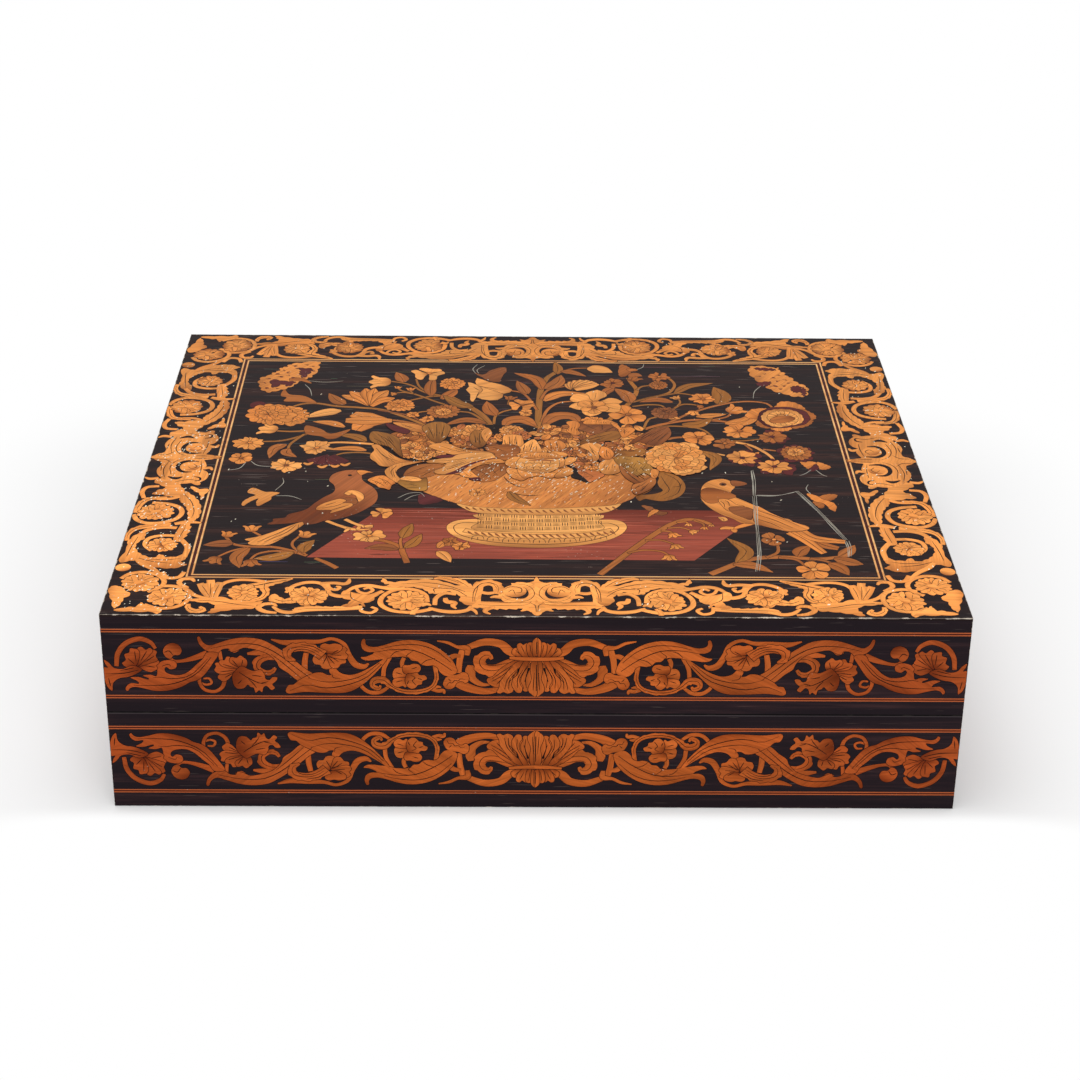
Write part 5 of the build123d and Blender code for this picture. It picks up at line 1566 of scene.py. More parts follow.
def centre(pen):
    """The crowded middle of the picture, from the back to the front."""
    shadow = [(-92, 205), (-88, 222), (-72, 240), (-50, 244), (-20, 244), (0, 240), (26, 244),
              (50, 246), (70, 240), (80, 222), (76, 205), (66, 196), (30, 190), (0, 200), (-40, 196),
              (-76, 190)]
    pen.patch(shadow, KERF)
    for x, y, radius, lobes, wood in (
        (-80, 226, 9.6, 6, GOLD), (-71, 232, 8, 6, HONEY), (-73, 216, 8.6, 6, HONEY),
        (-82, 211, 8, 5, STRAW), (-66, 208, 8, 6, GOLD), (-78, 202, 7.6, 6, HONEY),
        (-70, 199, 7, 5, GOLD), (-60, 214, 7, 5, STRAW), (-62, 203, 6.4, 5, GOLD),
        (-48, 234, 8.4, 6, GOLD), (-46, 222, 8.6, 6, COPPER), (-40, 214, 7, 5, COPPER),
        (-37, 239, 7, 5, HONEY), (-14, 236, 8.6, 6, GOLD), (-8, 229, 7, 5, RUST),
        (-20, 226, 7, 5, HONEY), (10, 237, 8, 6, HONEY), (18, 236, 7, 5, COPPER),
        (12, 226, 8.6, 6, COPPER), (22, 226, 7, 6, HONEY), (26, 214, 8, 6, COPPER),
        (22, 206, 7, 6, RUST), (30, 203, 7.6, 6, COPPER), (32, 194, 7, 5, RUST),
        (26, 191, 7, 6, COPPER), (36, 186, 6.6, 5, HONEY), (28, 182, 7, 6, HONEY),
        (50, 214, 7, 5, COPPER), (58, 222, 6.4, 5, COPPER), (56, 210, 6.4, 5, RUST),
        (64, 216, 7, 6, HONEY), (66, 206, 6.6, 5, GOLD), (56, 201, 7, 5, COPPER),
        (62, 212, 5, 4, STRAW), (40, 224, 6, 5, COPPER), (-30, 222, 6, 5, RUST), (4, 214, 6, 5, BROWN),
    ):
        pen.rosette(x, y, radius, lobes, 17 * lobes + x, wood, rings=2 if radius > 6.2 else 1)
    for number in range(420):
        x, y = pen.random.uniform(-88, 76), pen.random.uniform(186, 243)
        if -24 < x < -2 or (x < -40 and y < 196) or abs(x - 3) < 22 and y < 206:
            continue
        turn, size = pen.random.uniform(0, 360), pen.random.uniform(2.6, 5)
        wood = (GOLD, HONEY, COPPER, STRAW, RUST, GOLD, BROWN)[number % 7]
        if x > 20 and y < 215:
            wood = (COPPER, RUST, HONEY, BROWN)[number % 4]
        scrap = pen.at(x, y, turn, size)
        scrap.patch([(-1, 0), (-0.5, 0.5), (0.4, 0.62), (0.8, 0.3), (1, 0), (0.7, -0.4), (0, -0.6),
                     (-0.7, -0.4)], wood, (turn, 0.9, -0.6), turn, smooth=2)
        scrap.line([(0.7, 0), (-0.4, 0.1)], 0.16)
    for wood, outline, shade, turn, lines in (
        (PLUM, [(-96, 246), (-88, 242), (-80, 235), (-82, 230), (-88, 233), (-93, 238)], None, 0, ()),
        (GOLD, [(-91, 247), (-82, 246), (-73, 242), (-70, 234), (-76, 233), (-82, 238), (-88, 242.6)],
         (300, -0.5, 0.7), 150, ([(-86, 245), (-76, 237)],)),
        (OLIVE, [(-104, 233), (-97, 232), (-90, 228), (-86, 222), (-85, 212), (-83.6, 203), (-83, 196),
                 (-88, 204), (-92, 211), (-101, 216), (-105, 223)], (300, -0.4, 0.8), 110,
         ([(-100, 229), (-92, 219), (-86, 205)], [(-102, 223), (-95, 216)], [(-93, 226), (-89, 216)],
          [(-98, 226), (-92, 214)])),
        (OLIVE, [(-70, 244), (-64, 248), (-58, 247), (-54, 241), (-54.6, 232), (-57, 223), (-61, 217),
                 (-66, 221), (-69, 230), (-72, 238)], (270, -0.5, 0.8), 90,
         ([(-63, 245), (-62, 222)], [(-68, 240), (-64, 224)], [(-58, 243), (-59, 226)])),
        (OLIVE, [(-38, 236), (-32, 232), (-29.6, 223), (-32, 213), (-36, 211), (-40, 217), (-41, 227)],
         (270, -0.5, 0.8), 95, ([(-35, 232), (-35, 215)], [(-38, 228), (-37, 217)])),
        (GOLD, [(-29, 224), (-27, 232), (-30, 240), (-34, 232), (-31, 219)], (270, -0.5, 0.5), 80, ()),
        (BROWN, [(28, 248), (36, 252), (46, 251), (54, 246), (56, 238), (52, 231), (42, 230), (34, 234),
                 (28, 240)], (90, -0.4, 0.8), 40,
         ([(32, 246), (40, 238)], [(44, 249), (44, 238)], [(52, 243), (46, 236)])),
        (HONEY,
         [(32, 249), (36, 254), (42, 252), (47, 253.4), (52, 249.6), (54, 246), (44, 246), (34, 246)],
         (270, -0.5, 0.5), 90, ()),
        (HONEY,
         [(21, 249), (27, 251), (30, 245), (28, 238), (30, 232), (26, 230), (21, 236), (23, 242)],
         (0, -0.5, 0.5), 80, ()),
        (OLIVE, [(27, 216), (33, 225), (40, 231), (47, 235), (53, 236), (56, 230), (52, 223), (43, 221),
                 (36, 218)], (240, -0.5, 0.8), 40,
         ([(29, 219), (39, 226), (50, 232)], [(35, 219.6), (44, 225)])),
        (HONEY, [(50, 249), (54, 246), (56, 241), (62, 242), (65, 238), (62, 232), (57, 226), (55, 233),
                 (54, 239), (51, 244)], (300, -0.5, 0.5), 60, ([(58, 239), (58, 231)],)),
        (OLIVE, [(70, 205), (62, 199), (52, 199), (48, 204), (54, 208), (62, 207), (68, 211)],
         (200, -0.4, 0.8), 10, ()),
        (BROWN, [(72, 217), (78, 215), (84, 222), (88, 232), (87, 242), (83, 243), (76, 238), (70, 232),
                 (64, 224), (60, 216), (66, 220)], (240, -0.3, 0.8), 55,
         ([(64, 219), (74, 230), (85, 241)], [(74, 220), (83, 233)], [(68, 226), (76, 236)],
          [(79, 222), (86, 234)])),
        (GOLD,
         [(-19, 229), (-9, 229), (-7, 221), (-7, 214), (-9, 208), (-14, 205), (-21, 209), (-20, 218)],
         (270, -0.6, 0.8), 90,
         ([(-16, 227), (-15, 211)], [(-12, 227), (-11, 211)], [(-19, 222), (-18, 212)])),
        (STRAW, [(-10, 204), (-8, 213), (-4, 220), (0, 223), (3, 215), (4, 203)], (270, -0.6, 0.8), 80,
         ([(-6, 215), (-7, 206)], [(-1, 219), (-3, 206)], [(1.4, 213), (1, 206)])),
        (HONEY, [(7, 221), (16, 221.6), (20, 215), (18, 208), (12, 205), (7.6, 212)], (270, -0.5, 0.8),
         90, ([(10, 219), (11, 209)], [(14, 220), (14.6, 209)])),
        (COPPER, [(-26, 214), (-13, 215), (-9, 209), (-11, 200), (-16, 193), (-22, 195), (-27, 203),
                  (-31, 209)], (60, -0.4, 0.7), 20, ([(-26, 211), (-18, 205)],)),
        (GOLD, [(-103, 213), (-99, 214), (-95, 208), (-90, 201), (-86, 196), (-80, 191.6), (-74, 190),
                (-82, 185), (-90, 183), (-96, 184), (-99, 189), (-102.6, 194), (-103, 200),
                (-101, 206)], (320, -0.6, 0.8), 120,
         ([(-100, 209), (-94, 197), (-84, 190)], [(-97, 202), (-91, 193)])),
        (GOLD, [(-68, 191), (-76, 190), (-84, 188), (-89, 184), (-92.6, 178), (-92, 172), (-89, 166),
                (-85, 161.4), (-79, 157.6), (-77, 160), (-82, 165.4), (-85.4, 172), (-85.4, 178),
                (-82, 183.4), (-76, 187)], (0, -0.7, 0.9), 100,
         ([(-86, 184), (-89, 176), (-87, 168)],)),
        (COPPER, [(-81, 170), (-79.6, 178), (-76, 183.4), (-70, 187), (-61, 188), (-56, 184),
                  (-58, 178), (-61, 173), (-66, 169), (-72, 167.4), (-77, 168)], (200, -0.4, 0.6), 30,
         ([(-79, 173), (-72, 180), (-64, 186)], [(-70, 170), (-62, 180)])),
        (MOSS, [(-84, 161), (-81, 165.6), (-76, 163), (-71, 164.4), (-67, 168), (-66, 160), (-66, 152),
                (-69, 150), (-76, 151.4), (-80, 155)], (90, -0.4, 0.8), 10,
         ([(-80, 158), (-71, 158)], [(-76, 154), (-69, 154)])),
        (STRAW, [(-83, 166), (-79, 170), (-73, 168.6), (-69.6, 165), (-73, 163), (-78, 164)],
         (120, -0.4, 0.5), 170, ()),
        (HONEY, [(-102.6, 164.6), (-98, 169.4), (-93, 170.4), (-90, 167), (-87.6, 164), (-85.4, 160.4),
                 (-87.6, 157.6), (-88.6, 151.6), (-92, 153.4), (-95, 154.4), (-97.4, 158),
                 (-100, 160.6)], (330, -0.4, 0.6), 60,
         ([(-100, 164), (-95, 160), (-92, 156)], [(-96, 167), (-91, 163), (-88, 158)],
          [(-94, 165), (-91, 160)])),
        (COPPER, [(-42, 176), (-38, 183), (-31, 188), (-23, 189.4), (-18, 188.6), (-15, 184),
                  (-17, 178), (-20, 172), (-25, 165), (-32, 163), (-37, 167)], (90, -0.3, 0.7), 60,
         ([(-37, 180), (-29, 172), (-27, 166)], [(-29, 186), (-23, 172)], [(-21, 185), (-21, 177)])),
        (GOLD, [(-67, 212), (-60, 217), (-53, 215), (-48, 210), (-40, 206.6), (-29, 205), (-25, 201),
                (-32, 199.6), (-46, 199), (-52, 200.6), (-58, 204)], (180, 0.7, -0.6), 160,
         ([(-60, 213), (-48, 205), (-32, 202.4)], [(-50, 209), (-40, 204)])),
        (PLUM, [(-62, 197), (-58, 199.8), (-50, 200), (-46, 201), (-47, 197), (-54, 195), (-60, 195)],
         None, 0, ()),
        (STRAW, [(-49.6, 199), (-46, 201.4), (-36, 203.4), (-28, 203.4), (-24.6, 197.6), (-24, 195),
                 (-30, 193), (-38, 188), (-44, 182.6), (-50, 176), (-56, 172.4), (-61.4, 174),
                 (-62, 178), (-58, 181.4), (-55, 187), (-58, 188.6), (-66, 188.6), (-67.4, 191),
                 (-62, 193.4), (-57, 195), (-52, 196)], (200, -0.7, 0.6), 35,
         ([(-58, 191), (-46, 194), (-30, 199)], [(-57, 177), (-46, 186), (-30, 197)],
          [(-55, 180), (-44, 190)])),
        (GOLD, [(-24, 195), (-20, 192.6), (-18.6, 189.4), (-23, 188.4), (-30, 187.4), (-36, 184),
                (-40, 179), (-43, 174.6), (-47, 172.6), (-50.6, 175), (-45, 182), (-40, 187),
                (-32, 192)], (120, 0.6, -0.6), 40, ([(-22, 191.6), (-34, 187.4)],)),
        (GOLD, [(-46.6, 174), (-41, 178.6), (-37, 172.6), (-34.6, 169), (-38, 167.6), (-44, 170)],
         (300, -0.5, 0.5), 120, ()),
        (PLUM, [(-40.4, 167), (-35, 168.6), (-33.6, 164.6), (-38, 164.6)], None, 0, ()),
        (RUST, [(23, 185), (32, 180), (40, 176.6), (43, 172), (37, 166), (32, 162.6), (25, 171)],
         (120, -0.4, 0.8), 30, ([(28, 180), (36, 171)],)),
        (KERF,
         [(20, 186), (24, 179), (22.6, 170), (28, 166), (33, 162), (30, 169), (26.6, 175), (25.6, 182)],
         None, 0, ()),
        (GOLD, [(41, 190), (46, 195.4), (50.4, 195), (53.4, 186), (54, 180), (50, 174.6), (44, 173.6),
                (40.6, 178), (39.6, 184)], (300, -0.6, 0.6), 80, ()),
        (MOSS, [(50, 196), (54, 199.6), (60, 198.6), (68, 197), (71, 190), (73, 184), (74.4, 178),
                (73, 171), (68, 176), (63, 172), (57, 178), (54, 184), (51, 190)], (210, -0.3, 0.6), 70,
         ([(56, 196), (60, 194)], [(66, 184), (68, 178)], [(57, 188), (62, 181)],
          [(64, 193), (68, 187)])),
        (COPPER, [(53, 187), (57, 180), (61, 174), (66, 167), (72, 171), (70, 162), (64, 159.6),
                  (60, 163), (55.6, 170), (53.4, 178)], (240, -0.3, 0.9), 120,
         ([(55, 182), (60, 170), (65, 162)],)),
        (COPPER, [(60.6, 160), (66, 163.4), (73, 171), (74.4, 163), (70.4, 154), (64, 147.6),
                  (60.6, 147), (59, 154)], (300, -0.3, 0.8), 60,
         ([(64, 151), (70, 162)], [(61, 155), (66, 160)])),
        (HONEY, [(72.6, 181), (76.6, 180), (76.4, 174), (74, 168), (71.6, 172)], (300, -0.4, 0.6), 100,
         ()),
        (GOLD, [(29, 213), (34, 218), (41, 217), (43, 211.6), (40.6, 204), (40.4, 196), (37, 191),
                (36, 200), (34, 207)], (280, -0.6, 0.7), 110, ([(35, 214), (38.6, 198)],)),
        (HONEY, [(43, 213), (47.4, 210.6), (50, 204), (49, 198), (46, 194), (42.6, 197), (40.6, 203),
                 (41.6, 209)], (280, -0.6, 0.7), 100, ([(45.6, 209), (45.4, 199)],)),
    ):
        petals(pen, wood, outline, shade=shade, turn=turn, lines=lines)
    pen.mark([(-23, 196), (-34, 191.6), (-42, 184.8), (-48, 176.6), (-55, 172.6)],
             [0.5, 0.9, 1.4, 2, 0.5], PLUM)
    # Round flower in the middle: curled petals about a ball
    for outline in (
        [(-18.6, 189), (-15.6, 195), (-12, 198), (-8, 197), (-9.6, 190), (-11, 185), (-12, 180),
         (-16, 184)],
        [(-17.6, 181), (-12, 180.6), (-9, 174), (-5, 168), (-9, 164.6), (-15, 170.6)],
        [(-11, 181), (-4, 176.4), (4, 175.6), (12, 175.6), (13.6, 172), (9, 168), (4, 171), (-2, 170),
         (-7, 168)],
        [(12, 170), (16, 178.6), (20, 183), (23.4, 180.6), (23, 174), (17, 169)],
        [(15, 182), (20, 186), (24, 190), (26.4, 195), (24, 197.6), (20, 196), (17, 189)],
        [(-11, 199), (-9, 203), (-3, 205), (2, 202.4), (9, 203), (12, 206), (18, 204.6), (21, 200),
         (16, 197), (0, 198)],
        [(13, 198), (16, 199.4), (18.6, 194), (18, 186), (14.6, 182.6), (13, 190)],
    ):
        petals(pen, GOLD, outline, 0.5, 7, (270, -0.6, 0.8), 20)
    pen.patch([(-9, 196), (-4, 200.6), (4, 202), (12, 200.6), (15, 194), (15, 184), (10, 177),
               (4, 174.8), (-4, 176.4), (-10.4, 181), (-11.4, 188)], STRAW, (270, -0.7, 0.7))
    petals(pen, GOLD,
           [(-9, 199), (-4, 203), (4, 204), (12, 203), (17, 198), (13, 194.6), (4, 195.6), (-5, 195)],
           0.7, 9, (270, -0.5, 0.8), 90)
    pen.blade([(-3.6, 192.6), (4, 193.4), (12.6, 192)], [0.4, 1.3, 0.5], BROWN, (0.2, 0, 0), False, 0.2)
    for height, left, right in ((188.6, -8, 12.6), (184, -9, 12), (179.8, -7, 9.6)):
        for number in range(4):
            low = left + (right - left) * number / 4
            high = left + (right - left) * (number + 1) / 4
            pen.line([(low, height + 0.8), ((low + high) / 2, height - 1.2), (high, height + 0.8)],
                     0.24)
            pen.line([((low + high) / 2, height + 3), ((low + high) / 2, height)], 0.2)
    # Full flower at the right
    full = [(85, 219.6), (92, 219), (98, 219.4), (103.4, 216), (104.4, 211), (105.4, 205), (107.4, 200),
            (106.4, 194), (104.4, 190), (107.4, 184), (105, 181), (102, 177.6), (97, 175), (92, 172.8),
            (88, 174), (84, 177), (79.6, 180), (76, 185), (73, 190), (69.6, 194), (70, 200), (72, 206),
            (75, 209), (78, 214), (81.6, 217.4)]
    petals(pen, STRAW, full, 0.9, 24, (250, -0.5, 0.6), 70)
    for ring, reach, count in ((0, 21, 10), (1, 16.4, 8), (2, 11.4, 6), (3, 6, 3)):
        for number in range(count):
            angle = 360 * (number + 0.5 * (ring % 2)) / count + pen.random.uniform(-8, 8)
            x = 88.6 + 0.9 * reach * math.cos(math.radians(angle))
            y = 197 + 1.06 * reach * math.sin(math.radians(angle))
            petal = pen.at(89 + (x - 89) * 0.54, 197 + (y - 197) * 0.58, angle, 0.4 * reach + 1.6)
            wave = [0.12 * pen.random.uniform(-1, 1) for _ in range(5)]
            petal.patch([(-0.9, 0.1), (-0.3, 0.6 + wave[0]), (0.4, 0.72 + wave[1]), (0.72, 0.5),
                         (0.86, 0.2 + wave[2]), (0.8, -0.1), (0.9, -0.36 + wave[3]), (0.5, -0.72),
                         (-0.2, -0.62 + wave[4]), (-0.9, -0.1)],
                        (STRAW, GOLD, STRAW, HONEY)[(number + ring) % 4], (angle, 1.0, -0.9), angle,
                        smooth=3)
            petal.line([(0.74, 0.16), (0.1, 0.1), (-0.4, 0)], 0.2)
            petal.line([(0.7, -0.3), (0.2, -0.2)], 0.2)
    for number in range(420):
        x, y = pen.random.gauss(5, 42), pen.random.gauss(178, 26)
        if -86 < x < 74 and max(130, 126 + 0.0045 * x * x) < y < 240:
            length = pen.random.uniform(0.5, 2.6)
            lean = pen.random.uniform(0.1, 0.9) * length
            fleck(pen, x, y, length, lean, 0.24, 1)


def butterflies(pen):
    """Butterflies in the upper corners, and small insects and loose petals round the bouquet."""
    butterfly_wings(pen, GOLD, PLUM, [[(-147, 344), (-159, 342), (-166, 339), (-168, 335),
                                       (-171.6, 333), (-172.6, 328), (-176, 325), (-178, 321),
                                       (-183, 317), (-184.6, 310), (-183, 303), (-181, 297),
                                       (-176, 293), (-170, 296), (-165, 299), (-160.6, 304),
                                       (-158, 309), (-152, 316), (-149, 320), (-146, 330),
                                       (-146, 338)]],
                    [[(-161, 332.6), (-151, 332), (-151, 326), (-155, 317), (-158, 324), (-158, 330)],
                     [(-176, 313), (-166, 311), (-160, 310), (-164, 303), (-168, 306), (-174, 301)]],
                    ((-154, 338), (-162, 336), (-169, 329), (-173, 323), (-178, 315), (-180, 308),
                     (-178, 300), (-171, 299), (-166, 326), (-170, 318), (-165, 321), (-162, 317),
                     (-149, 328), (-150, 336)))
    pen.blade([(-164, 314), (-156, 314), (-149, 308)], [1.6, 2.2, 0.6], COPPER)
    butterfly_wings(pen, GOLD, PLUM, [[(147, 330), (148, 338), (151, 341), (159, 341), (165, 338),
                                       (168, 338), (168, 334), (171, 330), (172, 325), (175, 322),
                                       (177, 316), (180, 312), (184, 307), (184, 300), (182, 293),
                                       (178, 291), (172, 292), (167, 296), (162, 299), (157, 305),
                                       (156, 309), (158, 313), (153, 314), (149, 322)]],
                    [[(152, 338), (163, 337), (165, 334), (155, 334)],
                     [(174, 307), (179, 308), (180, 300), (175, 298), (173, 302)],
                     [(151, 313), (160, 315), (158, 309), (152, 308)],
                     [(181, 306), (182.6, 300), (180.6, 292), (179.4, 298)]],
                    ((158, 328), (163, 322), (167, 326), (165, 316), (171, 318), (163, 308), (169, 308),
                     (166, 303), (172, 313), (154, 324)))
    for wood, outline in (
        (BROWN, [(-20, 336.4), (-18, 331), (-21, 321), (-23, 312), (-30, 314), (-35, 320), (-40, 327),
                 (-34, 324), (-28, 332)]),
        (COPPER, [(60, 342), (64, 340), (67, 334), (66, 328), (63, 323), (59, 322), (58, 330)]),
        (COPPER, [(64, 335), (70, 335), (71, 332), (66, 331)]),
        (GOLD, [(-172, 153.6), (-165, 148.6), (-160, 148), (-155, 147), (-159, 142), (-160, 137),
                (-166, 129.6), (-168, 134), (-167, 139), (-171, 136), (-175, 129.6), (-176.4, 134),
                (-172, 141), (-169, 144), (-174.4, 147)]),
        (BROWN, [(64, 133), (70, 131), (73, 126), (79, 124), (76, 120), (71, 122), (67, 127)]),
        (HONEY, [(67, 117.6), (70, 121), (74, 126), (71, 127.6), (68, 123)]),
        (PLUM, [(-70, 146), (-62, 144), (-56, 138), (-64, 133), (-70, 134)]),
        (COPPER, [(171, 144), (178, 149), (184, 148), (181, 142), (176, 140)]),
        (COPPER, [(168, 139), (174, 138), (174, 132), (171, 131)]),
        (HONEY, [(165.6, 149.6), (170, 148), (175, 142), (180, 138), (181.6, 133), (180, 126.6),
                 (177, 130), (175, 136), (169, 140), (167, 144)]),
        (HONEY, [(167, 193.6), (176, 193), (175, 186), (171, 183), (168, 188)]),
        (HONEY, [(177, 193), (182, 190), (185, 186), (181, 182.6), (177, 184)]),
        (PLUM, [(170, 181), (173, 186), (176, 190), (177, 184), (173, 180)]),
    ):
        pen.patch(ruffle(outline, 0.4, 11), wood, (300, -0.5, 0.6), 45, smooth=1)


def left_bird(pen):
    """The bird at the left of the urn."""
    pen.patch([(-137, 110), (-142, 107), (-148, 102), (-155, 96), (-162, 91), (-169.6, 87.4),
               (-166.6, 85), (-167.4, 82.6), (-164, 80.4), (-155, 81), (-147, 90), (-140, 101),
               (-135, 110)], GOLD, (60, -0.6, 0.6), 50)
    for x in (-162, -158, -153):
        pen.line([(x, 84 + (x + 162) * 0.1), (x + 12, 96 + (x + 162) * 0.1),
                  (-141 + (x + 158) / 5, 106)], 0.3)
    for path in (
        [(-124, 111), (-116, 105), (-108, 100.6), (-101, 100)],
        [(-113, 113), (-107, 107.6), (-101, 104), (-96, 103.6)],
    ):
        pen.blade(path, [1.3, 1.2, 1.4, 0.6], STRAW, (0.3, 0, 0))
    for path in (
        [(-110, 101.4), (-112.4, 97)], [(-104, 104), (-104, 100), (-97, 101)],
        [(-101, 104), (-96, 105.6)],
    ):
        pen.blade(path, [1.1, 1.2, 0.5], STRAW, (0.3, 0, 0))
    pen.patch([(-107, 176), (-106.6, 170), (-106, 165), (-103, 160), (-99, 155), (-96, 148),
               (-95.4, 140), (-97, 133), (-101, 127), (-106, 121), (-112, 116.4), (-118, 113),
               (-125, 111), (-130, 107.4), (-136, 106), (-138, 109.6), (-145, 107.6), (-158, 106),
               (-155.4, 110), (-155.4, 113), (-149, 114.6), (-147, 119), (-140, 123), (-136, 127),
               (-133, 133), (-128, 141), (-123, 147), (-121.8, 152), (-123, 158), (-126, 163),
               (-126, 168), (-124, 173), (-119, 177), (-113, 178.4), (-109, 177.6)], FEATHER,
              (240, -0.4, 1.8), 60)
    pen.patch([(-110, 177.4), (-105.6, 177.8), (-99.6, 174.4), (-103, 175), (-107.4, 171.6)], HONEY,
              (0, -0.5, 0.4))
    pen.disc(-114, 171, 1.3, KERF, 1, kerf=False)
    pen.blade([(-114.4, 145), (-111.6, 148.4), (-107, 145.6), (-105.6, 140), (-106.2, 136)],
              [1.8, 2.6, 2.4, 2, 0.5], STRAW, (0.3, 0, 0))
    pen.patch([(-115, 140), (-109, 140), (-107, 134), (-112, 131), (-118, 136)], BROWN)
    pen.patch([(-129.4, 131), (-124, 136), (-118, 139.4), (-114, 137), (-116, 134), (-110.6, 133.6),
               (-110, 130), (-114, 126), (-119, 122.6), (-122.6, 120.6), (-122, 124.6), (-129, 124.4),
               (-131.4, 126)], GOLD, (230, -0.5, 0.6), 40)
    for path in (
        [(-128, 127), (-120, 130), (-115, 134)], [(-122, 124.6), (-117, 128), (-112, 131)],
        [(-126, 131), (-120, 134.6)],
    ):
        pen.line(path, 0.28)


def right_bird(pen):
    """The bird at the right of the urn."""
    for wood, path in (
        (COPPER, [(160, 92), (168, 84), (176, 80)]), (HONEY, [(150, 100), (158, 90), (167, 74)]),
        (HONEY, [(156, 102), (164, 92), (181, 88)]),
    ):
        pen.blade(path, [3.4, 3.4, 3.2, 2.2], wood, (0.5, -0.3, 0))
        pen.line([path[2], path[1], path[0]], 0.26)
    for path in (
        [(129, 111), (122, 107), (116, 103)], [(117, 104), (112, 104.6), (109, 103)],
        [(117, 103), (117.4, 99)],
    ):
        pen.blade(path, [1.8, 1.8, 0.7], HONEY, (0.3, 0, 0))
    pen.patch([(121, 164.6), (118, 168), (114, 168.8), (108, 166.4), (103.6, 161), (101.4, 154),
               (100.4, 147), (101, 140), (103.6, 133), (107, 127), (112, 121), (118, 116), (122, 111),
               (128, 110), (136, 106.6), (141, 104), (146, 101.4), (152, 100), (161, 103), (160.6, 108),
               (155, 111), (151, 116), (147, 118), (141, 124), (133, 133), (127, 139), (121, 145),
               (119, 149), (120.4, 154), (122.4, 158)], GOLD, (250, -0.8, 0.6), 130)
    pen.patch([(101.6, 153), (101, 143), (106, 136), (114, 140), (122, 145), (119, 150), (112, 155),
               (106, 156.6)], COPPER, (270, 0.8, -0.4))
    pen.patch([(120.6, 166.4), (126, 166), (130.4, 162.6), (127, 160), (121.6, 159.6)], BROWN,
              (270, -0.5, 0.5))
    pen.disc(115.4, 161.6, 1.9, BROWN, 1)
    pen.disc(115.4, 161.6, 1.1, KERF, 1, kerf=False)
    for outline, wood, shade, turn in (
        ([(111, 141), (117, 141), (121, 135), (126, 132.4), (118, 131), (117.4, 126), (114, 129)], GOLD,
         (300, -0.4, 0.6), 120),
        ([(117, 131), (126, 131.6), (131, 127), (129.6, 120), (128, 115), (124, 118), (118, 124)],
         BROWN, (300, -0.4, 0.6), 20),
        ([(133, 133), (141, 124), (147, 118), (154, 112), (161.4, 106.6), (160, 102.6), (150, 101),
          (140, 104.6), (131, 110.6), (130, 120)], HONEY, (220, -0.5, 0.7), 140),
    ):
        pen.patch(outline, wood, shade, turn)
    for start, end in (
        ((132, 128), (156, 108)), ((132, 122), (152, 105)), ((132, 116), (146, 104)),
        ((112, 139), (114, 131)), ((115, 140), (117, 133)),
    ):
        pen.line([start, ((start[0] + end[0]) / 2 + 0.8, (start[1] + end[1]) / 2 + 0.8), end], 0.28)


